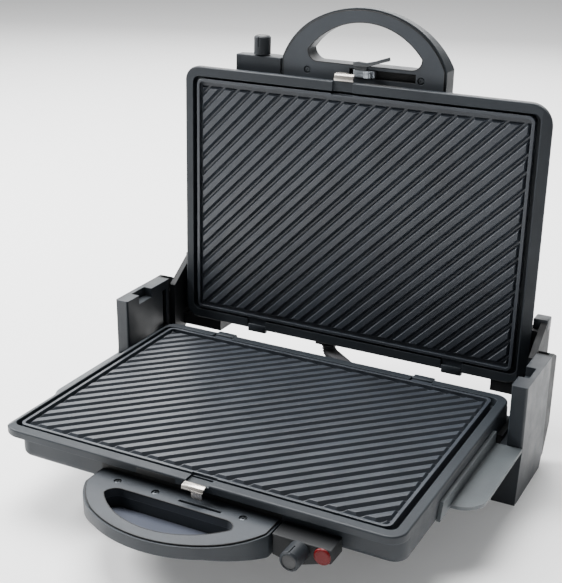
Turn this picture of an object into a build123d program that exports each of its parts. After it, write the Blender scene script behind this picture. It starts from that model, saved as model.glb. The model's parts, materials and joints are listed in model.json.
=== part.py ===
"""Hinged electric contact grill with two ribbed plates, a lifting hinge and a fold-flat lid.

The base and the lid are the same set of mouldings. Each piece is written once in the frame
of its half: x to that half's flush side, y towards the hinge, z out of the cooking face,
with z = 0 at the parting plane. The base's frame is upright over the table. The lid's is
the closed one, turned over and swung open about the hinge pivot.
"""
import os
from math import cos, pi, radians, sin, sqrt

from build123d import *

os.makedirs("parts", exist_ok=True)

# Attitude of the halves
parting_height = 72.0
closed_gap = 1.5
open_angle = 91.4
pivot_back = 142.6
pivot_drop = 21.2
lift_travel = 43.9

# Shell moulding
rim_flush_x = 179.0
rim_over_x = 179.5
rim_front_y = 128.6
rim_back_y = 127.5
rim_thick = 6.5
rim_corner = 14.0
rim_over_corner = 20.0
rim_edge_round = 1.6
wall_corner = 12.0
over_slope_run = 8.0
over_slope_drop = 4.6
over_wall_x = 164.0
wall = 2.5
wall_depth = 26.0
wall_foot_round = 5.0
recess_x = 170.5
recess_front_y = 119.8
recess_back_y = 118.0
recess_depth = 8.0
recess_corner = 7.0
ledge_width = 10.0
ledge_thick = 2.0
foot_flange_width = 16.0
foot_flange_thick = 2.0

# Cooking plate
plate_x = 165.5
plate_front_y = 117.5
plate_back_y = 115.5
plate_corner = 6.0
valley_depth = 4.0
plate_lip_width = 2.6
plate_lip_top = 0.4
rib_area_x = 161.4
rib_area_y = 110.5
rib_pitch = 15.5
rib_top_width = 5.0
rib_flank_run = 2.2
rib_top_drop = 0.6
tab_xs = (-109.0, 97.0)
tab_width = 20.0
tab_reach = 8.6
tab_thick = 2.4
tab_clearance = 0.5

# Plate clip
clip_x = 13.0
clip_width = 20.0
clip_thick = 1.2
clip_reach_over_plate = 0.8
clip_reach_out = 1.6
clip_top_drop = 0.8
clip_tail = 8.0
slide_clearance = 0.2

# Heating parts
element_radius = 3.5
element_x = 120.0
element_y = 78.0
element_bend = 26.0
element_gap = 40.0
terminal_radius = 3.5
terminal_length = 12.0
clamp_width = 16.0
clamp_length = 10.0
clamp_wall = 1.2
reflector_x = 150.0
reflector_y = 100.0
reflector_thick = 0.8
reflector_lip = 6.0
reflector_corner = 8.0

# Belly cover and feet
flange_thick = 2.0
flange_inset = 6.0
flange_corner = 8.0
belly_inset_top = 10.0
foot_height = 6.0
belly_depth = parting_height - foot_height
belly_foot_x = (-126.0, 148.0)
belly_foot_y = (-58.0, 98.0)
belly_corner = 18.0
foot_radius = 9.0
foot_inset = 20.0
screw_shank_radius = 1.6
screw_head_radius = 3.2
screw_head_height = 1.8
flange_screw_inset = 30.0

# Handle
handle_face_drop = 15.0
handle_root_thick = 19.6
handle_tip_thick = 11.0
handle_x = (-79.5, 82.5)
handle_shoulder_y = 144.0
handle_crown_x = 48.0
handle_reach = 193.0
handle_crown_y = handle_reach - 12.0
handle_taper_y = (146.0, handle_crown_y)
handle_rim = 1.8
handle_seam = 0.6
handle_rim_drop = 1.2
insert_thick = 7.0
grip_inner_y = 142.4
grip_half_width = 56.0
grip_corner_x = 47.0
grip_corner_y = 153.0
grip_outer_y = handle_reach - 12.5
grip_floor = 2.5
handle_screw_points = ((-56.0, -134.0), (56.0, -134.0))
base_extra_screw = (-21.0, -134.0)
handle_screw_radius = 3.4
handle_screw_sink = 1.5
handle_screw_length = 10.0
screw_slot_width = 0.9

# Control box, knob and lamp
box_side_x = 84.3
box_outer_x = 131.5
box_front_y = 142.0
box_top_drop = 15.5
box_knob_drop = 36.0
box_end_drop = 27.0
box_wall = 2.5
box_edge_round = 1.2
knob_x = 107.0
knob_drop = 22.0
knob_radius = 8.0
knob_length = 17.0
knob_gap = 1.0
knob_cap_radius = 5.8
knob_cap_sink = 0.7
knob_bevel = 1.4
pointer_width = 1.2
pointer_depth = 0.8
spindle_radius = 3.0
running_fit = 0.05
shaft_clearance = 0.4
thermostat_width = 20.0
thermostat_height = 8.0
thermostat_rise = 4.0
thermostat_gap = 0.3
lamp_x = 125.0
lamp_radius = 6.0
lamp_bezel = 0.7
lamp_dome = 1.8

# Side brackets, towers and crossbar
wing_drop = 21.0
wing_thick = 3.0
wing_front_y = -34.0
wing_back_y = 78.0
wing_corner = 20.0
bracket_front_y = -57.0
bracket_top_drop = 10.0
bracket_thick = 3.0
tower_inner_x = 191.0
tower_outer_x = 205.0
tower_foot_x = 184.0
tower_foot_back_y = 125.0
tower_wall = 2.5
tower_edge_round = 2.0
tower_top = 35.0
tower_front_y = 78.0
tower_toe_y = 70.0
tower_back_y = 150.0
tower_heel_y = 144.0
tower_step_drop = 62.0
notch_y = (98.0, 120.0)
notch_x = 200.0
notch_floor = 26.0
cover_back_y = 168.5
cover_step_y = 152.5
cover_knee_drop = 36.0
cover_top_back = 29.0
cover_top_y = 158.0
cover_top = 35.0
cover_pocket_floor = 22.0
crossbar_drop = 27.0
crossbar_foot_drop = 62.0
crossbar_back_y = 143.0
crossbar_x = 182.9
crossbar_wall = 3.0
crossbar_belly_gap = 0.4
root_y = (90.0, 125.0)
root_drop = 19.5

# Hinge carriage and lid arms
pin_radius = 3.0
pin_head_radius = 5.0
pin_head_thick = 1.6
slider_half_height = 9.5
slider_clearance = 0.2
arm_inner_x = 184.2
arm_outer_x = 190.0
arm_top_y = 69.0
arm_knee_y = 92.0
arm_knee_rise = 14.5
arm_shoulder_drop = 17.3
arm_back_drop = 30.0
arm_back_y = 138.5
arm_eye_radius = 10.0
lug_flush_x = 140.0
lug_over_x = 147.0
lug_drop = (28.0, 2.0)
boss_y = (76.0, 124.0)
boss_drop = (24.0, 10.2)

# Latch on the lid's handle
latch_slot_x = (-51.0, 13.6)
latch_slot_y = (-139.4, -131.4)
latch_slot_depth = 4.0
latch_x = (-10.0, 11.0)
latch_tab_x = (-21.0, 9.0)
latch_tab_reach = 147.5
latch_tab_thick = 1.6
latch_hook_height = 6.0
latch_hook_thick = 3.0
latch_hook_reach = 7.0
catch_slit_x = (1.0, 38.0)
catch_slit_y = (-137.2, -134.4)
catch_slit_depth = 5.0

# Wiring
guard_base_x = 42.3
guard_drop = 19.5
guard_lid_x = -22.5
guard_lid_drop = 13.2
guard_width = 14.0
guard_thick = 6.0
guard_groove = 0.7
guard_wall = 1.0
guard_corner = 2.0
guard_bend = 6.5
guard_rib_pitch = 4.0
guard_lid_gap = 0.3
gland_length = 14.0
gland_border = 3.0
collar_clearance = 0.25
collar_thick = 3.0
inlet_x = -128.0
inlet_drop = 17.0
inlet_radius = 6.0
inlet_bore = 3.6
inlet_lip = 1.5
terminal_block_x = (-112.0, -82.0)
terminal_block_depth = 12.0
terminal_block_height = 9.0

# Frames of the two halves, over an origin under the middle of the open grill
pivot_height = parting_height - pivot_drop
swing = radians(open_angle)
closed_y = -pivot_back
closed_z = closed_gap + pivot_drop
lid_y = pivot_back + closed_y * cos(swing) + closed_z * sin(swing)
lid_height = pivot_height - closed_y * sin(swing) + closed_z * cos(swing)
lid_foot_reach = foot_radius - foot_inset - belly_foot_y[0]
lid_back_y = lid_y + parting_height * sin(swing) - lid_foot_reach * cos(swing)
middle_y = (lid_back_y - handle_reach) / 2
base_frame = Plane(origin=(0, -middle_y, parting_height))
lid_frame = Plane(
    origin=(0, lid_y - middle_y, lid_height),
    x_dir=(-1, 0, 0),
    z_dir=(0, -sin(swing), -cos(swing)),
)
rim_x = (-rim_over_x, rim_flush_x)
rim_y = (-rim_front_y, rim_back_y)
wall_x = (-over_wall_x, rim_flush_x)
wall_front_y = recess_front_y + wall
wall_y = (-wall_front_y, rim_back_y)
plate_bottom = -recess_depth
element_depth = recess_depth + element_radius


def save(piece, name):
    """Labels a finished piece and writes it."""
    piece.part.label = name
    export_step(piece.part, f"parts/{name}.step")


def grown(pair, amount):
    """Widens a (low, high) pair by amount at both ends."""
    return (pair[0] - amount, pair[1] + amount)


def on_side(side, low, high):
    """Gives the x pair of a piece between low and high on the +1 or -1 side."""
    return (low, high) if side > 0 else (-high, -low)


def slab(frame, x, y, z, radius=0.0, mode=Mode.ADD):
    """Adds or cuts a block between pairs of x, y and z, with rounded plan corners."""
    with BuildSketch(frame.offset(z[0])) as plan:
        with Locations(((x[0] + x[1]) / 2, (y[0] + y[1]) / 2)):
            if radius > 0:
                RectangleRounded(x[1] - x[0], y[1] - y[0], radius)
            else:
                Rectangle(x[1] - x[0], y[1] - y[0])
    extrude(plan.sketch, amount=z[1] - z[0], mode=mode)


def side_outline(frame, x, points, mode=Mode.ADD):
    """Adds or cuts a (y, z) outline between a pair of x."""
    plane = Plane(frame.from_local_coords((x[0], 0, 0)), x_dir=frame.y_dir, z_dir=frame.x_dir)
    with BuildSketch(plane) as profile:
        with BuildLine():
            Polyline(*points, close=True)
        make_face()
    extrude(profile.sketch, amount=x[1] - x[0], mode=mode)


def front_outline(frame, y, points, mode=Mode.ADD):
    """Adds or cuts an (x, z) outline between a pair of y."""
    plane = Plane(frame.from_local_coords((0, y[1], 0)), x_dir=frame.x_dir, z_dir=-frame.y_dir)
    with BuildSketch(plane) as profile:
        with BuildLine():
            Polyline(*points, close=True)
        make_face()
    extrude(profile.sketch, amount=y[1] - y[0], mode=mode)


def round_bar(frame, start, along, length, radius, mode=Mode.ADD):
    """Adds or cuts a cylinder from a start point along a direction."""
    with BuildSketch(Plane(frame.from_local_coords(start), z_dir=along)) as section:
        Circle(radius)
    extrude(section.sketch, amount=length, mode=mode)


def drill(frame, start, along, length, radius):
    """Cuts a round hole from a start point along a direction."""
    round_bar(frame, start, along, length, radius, Mode.SUBTRACT)


def flange_screw_points():
    """Places the belly cover's screws round its flange."""
    inset = flange_inset + belly_inset_top / 2
    low_x = wall_x[0] + inset
    high_x = wall_x[1] - inset
    low_y = wall_y[0] + inset
    high_y = wall_y[1] - inset
    middle = (low_x + high_x) / 2
    row = (low_x + flange_screw_inset, middle, high_x - flange_screw_inset)
    return [(x, y) for y in (low_y, high_y) for x in row]


def foot_points():
    """Places the four feet under the belly."""
    low_x, high_x = grown(belly_foot_x, -foot_inset)
    low_y, high_y = grown(belly_foot_y, -foot_inset)
    return [(x, y) for x in (low_x, high_x) for y in (low_y, high_y)]


def clip_span(clearance):
    """Gives the clip's x pair, widened by a clearance."""
    return grown((clip_x - clip_width / 2, clip_x + clip_width / 2), clearance)


def build_shell(frame, name, has_inlet):
    """Rim, side walls and the ledge that carries the cooking plate."""
    up = Axis(frame.origin, frame.z_dir)
    ledge_top = -recess_depth
    ledge_bottom = ledge_top - ledge_thick
    with BuildPart() as shell:
        slab(frame, wall_x, wall_y, (-wall_depth, ledge_bottom), wall_corner)
        foot = shell.faces().sort_by(up)[0]
        fillet(foot.outer_wire().edges(), wall_foot_round)
        slab(frame, (-recess_x - wall, rim_flush_x), wall_y, (ledge_bottom, -rim_thick), wall_corner)
        with BuildSketch(frame.offset(-rim_thick)) as rim:
            with Locations((sum(rim_x) / 2, sum(rim_y) / 2)):
                Rectangle(rim_x[1] - rim_x[0], rim_y[1] - rim_y[0])
            fillet(rim.vertices().group_by(Axis.X)[0], rim_over_corner)
            fillet(rim.vertices().sort_by(Axis.X)[-2:], rim_corner)
        extrude(amount=rim_thick)
        top = shell.faces().sort_by(up)[-1]
        fillet(top.outer_wire().edges(), rim_edge_round)
        slope = [
            (-rim_over_x - 1, 1),
            (-rim_over_x - 1, -over_slope_drop),
            (-rim_over_x, -over_slope_drop),
            (-rim_over_x + over_slope_run, 0),
            (-rim_over_x + over_slope_run, 1),
        ]
        front_outline(frame, grown(rim_y, 1), slope, Mode.SUBTRACT)
        recess_y = (-recess_front_y, recess_back_y)
        slab(frame, (-recess_x, recess_x), recess_y, (ledge_top, 1), recess_corner, Mode.SUBTRACT)
        ledge_x = recess_x - ledge_width
        ledge_y = grown(recess_y, -ledge_width)
        slab(frame, (-ledge_x, ledge_x), ledge_y, (ledge_bottom - 1, 1), recess_corner, Mode.SUBTRACT)
        inner_x = grown(wall_x, -wall)
        inner_y = grown(wall_y, -wall)
        inner_z = (-wall_depth + foot_flange_thick, ledge_bottom)
        slab(frame, inner_x, inner_y, inner_z, wall_corner - wall, Mode.SUBTRACT)
        open_x = grown(wall_x, -foot_flange_width - wall)
        open_y = grown(wall_y, -foot_flange_width - wall)
        slab(frame, open_x, open_y, (-wall_depth - 1, inner_z[0] + 1), wall_corner, Mode.SUBTRACT)
        for x in tab_xs:
            notch_x_pair = grown((x - tab_width / 2, x + tab_width / 2), tab_clearance)
            notch_y_pair = (recess_back_y - 1, plate_back_y + tab_reach + tab_clearance)
            slab(frame, notch_x_pair, notch_y_pair, (-rim_top_to_tab(), 1), 0, Mode.SUBTRACT)
        clip_floor = -clip_top_drop - clip_thick - slide_clearance
        clip_y = (-rim_front_y - 1, -recess_front_y + 1)
        slab(frame, clip_span(slide_clearance), clip_y, (clip_floor, 1), 0, Mode.SUBTRACT)
        for x, y in flange_screw_points():
            drill(frame, (x, y, -wall_depth - 1), frame.z_dir, foot_flange_thick + 2, screw_shank_radius)
        window_x = (box_side_x + 6, box_outer_x - 6)
        window_y = (-wall_front_y - 1, -wall_front_y + wall + 1)
        window_z = (-wall_depth + wall_foot_round, -box_top_drop - box_wall)
        slab(frame, window_x, window_y, window_z, 0, Mode.SUBTRACT)
        hole_x = guard_base_x if has_inlet else -guard_lid_x
        hole_drop = guard_drop if has_inlet else guard_lid_drop
        inside_y = rim_back_y - wall - 1
        wire_radius = guard_thick / 2 - guard_groove
        drill(frame, (hole_x, inside_y, -hole_drop), frame.y_dir, wall + 2, wire_radius)
        if has_inlet:
            drill(frame, (inlet_x, inside_y, -inlet_drop), frame.y_dir, wall + 2, inlet_radius)
    save(shell, name)


def rim_top_to_tab():
    """Depth of the rim's notches under the plate's tabs."""
    return valley_depth + 0.2


def build_plate(frame, name):
    """Cast plate with diagonal ribs, a raised lip and two tabs at the hinge side."""
    valley = -valley_depth
    rib_top = -rib_top_drop
    rib_height = rib_top - valley
    diagonal = Vector(1, 1, 0).normalized()
    along = frame.x_dir * diagonal.X + frame.y_dir * diagonal.Y
    across = frame.x_dir * diagonal.X - frame.y_dir * diagonal.Y
    spacing = rib_pitch / sqrt(2)
    reach = (rib_area_x + rib_area_y) / sqrt(2)
    count = int(reach / spacing) + 1
    half_top = rib_top_width / 2
    half_foot = half_top + rib_flank_run
    start = frame.from_local_coords((0, 0, valley)) - along * reach
    with BuildPart(mode=Mode.PRIVATE) as field:
        for number in range(-count, count):
            centre = start + across * (spacing * (number + 0.5))
            with BuildSketch(Plane(centre, x_dir=across, z_dir=along)):
                with BuildLine():
                    rise = -rib_height
                    Polyline(
                        (-half_foot, 0),
                        (-half_top, rise),
                        (half_top, rise),
                        (half_foot, 0),
                        close=True,
                    )
                make_face()
            extrude(amount=2 * reach)
    with BuildPart(mode=Mode.PRIVATE) as area:
        with BuildSketch(frame.offset(valley)):
            Rectangle(2 * rib_area_x, 2 * rib_area_y)
        extrude(amount=rib_height, taper=30)
    with BuildPart() as plate:
        plate_y = (-plate_front_y, plate_back_y)
        slab(frame, (-plate_x, plate_x), plate_y, (plate_bottom, plate_lip_top), plate_corner)
        inner_x = plate_x - plate_lip_width
        inner_y = grown(plate_y, -plate_lip_width)
        inner_corner = plate_corner - plate_lip_width
        slab(frame, (-inner_x, inner_x), inner_y, (valley, 1), inner_corner, Mode.SUBTRACT)
        add(field.part & area.part)
        for x in tab_xs:
            tab_x = (x - tab_width / 2, x + tab_width / 2)
            tab_y = (plate_back_y - 1, plate_back_y + tab_reach)
            slab(frame, tab_x, tab_y, (valley, valley + tab_thick))
        seat_y = (-plate_front_y - 1, -plate_front_y + clip_reach_over_plate + slide_clearance)
        seat_z = (-clip_top_drop - clip_thick - slide_clearance, 1)
        slab(frame, clip_span(1.0), seat_y, seat_z, 0, Mode.SUBTRACT)
    save(plate, name)


def build_clip(frame, name):
    """Sprung sheet clip that holds the plate's front edge, with a tail over the wall."""
    top = -clip_top_drop
    nose_y = -plate_front_y + clip_reach_over_plate - slide_clearance
    tail_y = -rim_front_y - clip_reach_out
    with BuildPart() as clip:
        slab(frame, clip_span(-slide_clearance), (tail_y, nose_y), (top - clip_thick, top))
        slab(frame, clip_span(-3.0), (tail_y, tail_y + clip_thick), (top - clip_tail, top))
    save(clip, name)


def build_element(frame, name):
    """Tubular heating element bent into a loop under the plate."""
    half_gap = element_gap / 2
    loop = [
        (-half_gap, element_y),
        (-element_x, element_y),
        (-element_x, -element_y),
        (element_x, -element_y),
        (element_x, element_y),
        (half_gap, element_y),
    ]
    with BuildPart() as element:
        with BuildLine(frame.offset(-element_depth)) as route:
            FilletPolyline(*loop, radius=element_bend)
        with BuildSketch(Plane(route.line @ 0, z_dir=route.line % 0)):
            Circle(element_radius)
        sweep()
    save(element, name)


def build_terminals(frame, name):
    """Ceramic ends of the heating element."""
    half_gap = element_gap / 2
    with BuildPart() as terminals:
        for side in (-1, 1):
            end = (side * half_gap, element_y, -element_depth)
            round_bar(frame, end, -frame.x_dir * side, terminal_length, terminal_radius)
    save(terminals, name)


def build_clamps(frame, name):
    """Straps that press the heating element against the plate."""
    low = plate_bottom - 2 * element_radius - clamp_wall
    with BuildPart() as clamps:
        for y in (-element_y, element_y):
            for x in (-element_x / 2, element_x / 2):
                clamp_x = (x - clamp_length / 2, x + clamp_length / 2)
                clamp_y = (y - clamp_width / 2, y + clamp_width / 2)
                slab(frame, clamp_x, clamp_y, (low, plate_bottom))
                bore_start = (x - clamp_length, y, -element_depth)
                drill(frame, bore_start, frame.x_dir, 2 * clamp_length, element_radius)
                channel_x = grown(clamp_x, 1)
                channel_y = grown((y, y), element_radius)
                slab(frame, channel_x, channel_y, (-element_depth, plate_bottom + 1), 0, Mode.SUBTRACT)
    save(clamps, name)


def build_reflector(frame, name):
    """Sheet tray that throws the heat back at the plate."""
    floor = plate_bottom - 2 * element_radius - clamp_wall
    x_pair = (-reflector_x, reflector_x)
    y_pair = (-reflector_y, reflector_y)
    top = floor + reflector_lip
    inner_x = grown(x_pair, -reflector_thick)
    inner_y = grown(y_pair, -reflector_thick)
    inner_corner = reflector_corner - reflector_thick
    with BuildPart() as reflector:
        slab(frame, x_pair, y_pair, (floor - reflector_thick, top), reflector_corner)
        slab(frame, inner_x, inner_y, (floor, top), inner_corner, Mode.SUBTRACT)
    save(reflector, name)


def build_belly(frame, name):
    """Cover that closes the half below its walls and tapers to the feet."""
    flange_x = grown(wall_x, -flange_inset)
    flange_y = grown(wall_y, -flange_inset)
    flange_bottom = -wall_depth - flange_thick
    mouth_x = grown(flange_x, -belly_inset_top)
    mouth_y = grown(flange_y, -belly_inset_top)
    with BuildPart() as belly:
        slab(frame, flange_x, flange_y, (flange_bottom, -wall_depth), flange_corner)
        outer_pairs = (
            (mouth_x, mouth_y, -flange_bottom),
            (belly_foot_x, belly_foot_y, belly_depth),
        )
        for x_pair, y_pair, depth in outer_pairs:
            with BuildSketch(frame.offset(-depth)):
                with Locations((sum(x_pair) / 2, sum(y_pair) / 2)):
                    RectangleRounded(x_pair[1] - x_pair[0], y_pair[1] - y_pair[0], belly_corner)
        loft()
        inner_pairs = (
            (grown(mouth_x, -wall), grown(mouth_y, -wall), -flange_bottom),
            (grown(belly_foot_x, -wall), grown(belly_foot_y, -wall), belly_depth - wall),
        )
        for x_pair, y_pair, depth in inner_pairs:
            with BuildSketch(frame.offset(-depth)):
                with Locations((sum(x_pair) / 2, sum(y_pair) / 2)):
                    RectangleRounded(x_pair[1] - x_pair[0], y_pair[1] - y_pair[0], belly_corner - wall)
        loft(mode=Mode.SUBTRACT)
        mouth_z = (flange_bottom, -wall_depth + 1)
        inner_corner = belly_corner - wall
        slab(frame, grown(mouth_x, -wall), grown(mouth_y, -wall), mouth_z, inner_corner, Mode.SUBTRACT)
        for x, y in flange_screw_points():
            drill(frame, (x, y, flange_bottom - 1), frame.z_dir, flange_thick + 2, screw_shank_radius)
    save(belly, name)


def build_belly_screws(frame, name):
    """Screws of the belly cover, put in from below."""
    seat = -wall_depth - flange_thick
    shank_length = flange_thick + foot_flange_thick
    with BuildPart() as screws:
        for x, y in flange_screw_points():
            round_bar(frame, (x, y, seat), -frame.z_dir, screw_head_height, screw_head_radius)
            round_bar(frame, (x, y, seat), frame.z_dir, shank_length, screw_shank_radius)
    save(screws, name)


def build_feet(frame, name):
    """Rubber feet under the belly."""
    with BuildPart() as feet:
        for x, y in foot_points():
            round_bar(frame, (x, y, -belly_depth), -frame.z_dir, foot_height, foot_radius)
    save(feet, name)


def handle_outline(plane, inset):
    """Draws the handle's outline on a plane, inset from its edge."""
    left, right = grown(handle_x, -inset)
    middle = (left + right) / 2
    crown_left = (middle - handle_crown_x + inset / 2, -handle_crown_y + inset)
    crown_right = (middle + handle_crown_x - inset / 2, -handle_crown_y + inset)
    with BuildSketch(plane) as outline:
        with BuildLine():
            tip = ThreePointArc(crown_left, (middle, -handle_reach + inset), crown_right)
            TangentArc(crown_right, (right, -handle_shoulder_y), tangent=tip % 1)
            Line((right, -handle_shoulder_y), (right, -wall_front_y))
            Line((right, -wall_front_y), (left, -wall_front_y))
            Line((left, -wall_front_y), (left, -handle_shoulder_y))
            TangentArc(crown_left, (left, -handle_shoulder_y), tangent=-(tip % 0))
        make_face()
    return outline.sketch


def grip_outline(plane):
    """Draws the finger opening on a plane."""
    inner = (grip_corner_x, -grip_inner_y)
    outer = (grip_half_width, -grip_corner_y)
    bulge = sqrt(0.5)
    corner = (
        inner[0] + bulge * (outer[0] - inner[0]),
        outer[1] + bulge * (inner[1] - outer[1]),
    )
    with BuildSketch(plane) as outline:
        with BuildLine():
            Line((-inner[0], inner[1]), inner)
            ThreePointArc(inner, corner, outer)
            ThreePointArc(outer, (0, -grip_outer_y), (-outer[0], outer[1]))
            ThreePointArc((-outer[0], outer[1]), (-corner[0], corner[1]), (-inner[0], inner[1]))
        make_face()
    return outline.sketch


def screw_points(frame):
    """Places the handle's screws. The base has one more than the lid, whose latch needs the room."""
    return handle_screw_points + ((base_extra_screw,) if frame is base_frame else ())


def below_handle(frame, rise):
    """Cuts away what lies below the handle's underside, or below a level that far above it."""
    bottom = -handle_face_drop - handle_root_thick
    beyond_x = grown(handle_x, 1)
    side_outline(frame, beyond_x, [
        (-wall_front_y, bottom - 2),
        (-wall_front_y, bottom + rise),
        (-handle_taper_y[0], bottom + rise),
        (-handle_taper_y[1], -handle_face_drop - handle_tip_thick + rise),
        (-handle_reach - 1, -handle_face_drop - handle_tip_thick + rise),
        (-handle_reach - 1, bottom - 2),
    ], Mode.SUBTRACT)


def build_handle_shell(frame, name, blind):
    """Outer half of the handle, thinner towards its tip. A blind grip keeps a floor."""
    rim_top = -handle_face_drop - handle_rim_drop
    bottom = -handle_face_drop - handle_root_thick
    insert_floor = -handle_face_drop - insert_thick
    pilot_length = handle_screw_length - insert_thick + handle_screw_sink
    with BuildPart(mode=Mode.PRIVATE) as opening:
        extrude(grip_outline(frame.offset(bottom - 1)), amount=handle_root_thick + 2)
        if blind:
            below_handle(frame, grip_floor)
    with BuildPart() as shell:
        extrude(handle_outline(frame.offset(bottom), 0), amount=rim_top - bottom)
        below_handle(frame, 0)
        recess = handle_outline(frame.offset(insert_floor), handle_rim)
        extrude(recess, amount=insert_thick, mode=Mode.SUBTRACT)
        add(opening.part, mode=Mode.SUBTRACT)
        for x, y in screw_points(frame):
            drill(frame, (x, y, insert_floor), -frame.z_dir, pilot_length, screw_shank_radius)
    save(shell, name)


def build_handle_insert(frame, name, latch_slot):
    """Inner half of the handle, with a latch slot or the slit that the latch drops into."""
    face = -handle_face_drop
    with BuildPart() as insert:
        body = handle_outline(frame.offset(face - insert_thick), handle_rim + handle_seam)
        extrude(body, amount=insert_thick)
        opening = grip_outline(frame.offset(face - insert_thick - 1))
        extrude(opening, amount=insert_thick + 2, mode=Mode.SUBTRACT)
        for x, y in screw_points(frame):
            drill(frame, (x, y, face), -frame.z_dir, handle_screw_sink, handle_screw_radius)
            drill(frame, (x, y, face), -frame.z_dir, insert_thick + 1, screw_shank_radius)
        if latch_slot:
            slab(frame, latch_slot_x, latch_slot_y, (face - latch_slot_depth, 0), 0, Mode.SUBTRACT)
        else:
            slab(frame, catch_slit_x, catch_slit_y, (face - catch_slit_depth, 0), 0, Mode.SUBTRACT)
    save(insert, name)


def build_handle_screws(frame, name):
    """Screws that hold the two halves of the handle together."""
    seat = -handle_face_drop - handle_screw_sink
    shank_length = handle_screw_length - handle_screw_sink
    slot_length = handle_screw_radius * 1.3
    with BuildPart() as screws:
        for x, y in screw_points(frame):
            head_height = handle_screw_sink - 0.3
            round_bar(frame, (x, y, seat), frame.z_dir, head_height, handle_screw_radius - 0.1)
            round_bar(frame, (x, y, seat), -frame.z_dir, shank_length, screw_shank_radius)
            slot_x = (x - slot_length / 2, x + slot_length / 2)
            slot_y = (y - screw_slot_width / 2, y + screw_slot_width / 2)
            slab(frame, slot_x, slot_y, (seat + head_height / 2, seat + head_height + 1), 0, Mode.SUBTRACT)
    save(screws, name)


def build_control_box(frame, name, has_lamp):
    """Housing beside the handle for the thermostat, its knob and the pilot lamp."""
    outline = [
        (box_side_x, -box_top_drop),
        (box_outer_x, -box_top_drop),
        (box_outer_x, -box_end_drop),
        (lamp_x - 2, -box_end_drop - 2.5),
        (knob_x + 2, -box_knob_drop + 1.5),
        (knob_x - 8, -box_knob_drop),
        (box_side_x, -box_knob_drop + 3),
    ]
    hollow_y = (-box_front_y + box_wall, -wall_front_y + 1)
    hollow_x = grown((box_side_x, box_outer_x), -box_wall)
    deep_x = (hollow_x[0], knob_x + knob_radius)
    wall_start = -box_front_y - 1
    with BuildPart() as box:
        front_outline(frame, (-box_front_y, -wall_front_y), outline)
        front = box.faces().sort_by(Axis(frame.origin, -frame.y_dir))[-1]
        fillet(front.outer_wire().edges(), box_edge_round)
        slab(frame, hollow_x, hollow_y, (-box_end_drop, -box_top_drop - box_wall), 0, Mode.SUBTRACT)
        slab(frame, deep_x, hollow_y, (-box_end_drop - 4, -box_end_drop + 1), 0, Mode.SUBTRACT)
        bore = spindle_radius + shaft_clearance
        drill(frame, (knob_x, wall_start, -knob_drop), frame.y_dir, box_wall + 2, bore)
        if has_lamp:
            drill(frame, (lamp_x, wall_start, -knob_drop), frame.y_dir, box_wall + 2, lamp_radius)
    save(box, name)


def build_thermostat(frame, name):
    """Thermostat body behind the knob, with the bush that its spindle turns in."""
    face_y = -box_front_y + box_wall
    back_y = -wall_front_y - thermostat_gap
    body_x = (knob_x - thermostat_width / 2, knob_x + thermostat_width / 2)
    body_z = (-knob_drop + thermostat_rise - thermostat_height, -knob_drop + thermostat_rise)
    bore_length = back_y - face_y - 1
    with BuildPart() as thermostat:
        slab(frame, body_x, (face_y, back_y), body_z)
        bore_start = (knob_x, face_y - 1, -knob_drop)
        drill(frame, bore_start, frame.y_dir, bore_length, spindle_radius + running_fit)
    save(thermostat, name)


def build_spindle(frame, name):
    """Spindle between the thermostat and the knob."""
    tip_y = -box_front_y - knob_gap - knob_length + 4
    back_y = -wall_front_y - 3
    with BuildPart() as spindle:
        round_bar(frame, (knob_x, tip_y, -knob_drop), frame.y_dir, back_y - tip_y, spindle_radius)
    save(spindle, name)


def build_knob(frame, name):
    """Round knob with a bevelled end, a sunk cap and a pointer groove."""
    foot_y = -box_front_y - knob_gap
    tip_y = foot_y - knob_length
    with BuildPart() as knob:
        round_bar(frame, (knob_x, foot_y, -knob_drop), -frame.y_dir, knob_length, knob_radius)
        tip = knob.faces().sort_by(Axis(frame.origin, -frame.y_dir))[-1]
        chamfer(tip.edges(), knob_bevel)
        drill(frame, (knob_x, tip_y, -knob_drop), frame.y_dir, knob_cap_sink, knob_cap_radius)
        pointer_x = (knob_x - pointer_width / 2, knob_x + pointer_width / 2)
        pointer_z = (-knob_drop + knob_radius - pointer_depth, -knob_drop + knob_radius + 1)
        slab(frame, pointer_x, (tip_y - 1, tip_y + knob_length * 0.6), pointer_z, 0, Mode.SUBTRACT)
        drill(frame, (knob_x, tip_y + 4, -knob_drop), frame.y_dir, knob_length, spindle_radius)
    save(knob, name)


def build_lamp(frame, name):
    """Domed lens of the pilot lamp."""
    with BuildPart() as lamp:
        round_bar(frame, (lamp_x, -box_front_y + box_wall, -knob_drop), -frame.y_dir, box_wall, lamp_radius)
        seat = (lamp_x, -box_front_y, -knob_drop)
        round_bar(frame, seat, -frame.y_dir, lamp_dome, lamp_radius + lamp_bezel)
        front = lamp.faces().sort_by(Axis(frame.origin, -frame.y_dir))[-1]
        fillet(front.edges(), lamp_dome - 0.4)
    save(lamp, name)


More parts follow.
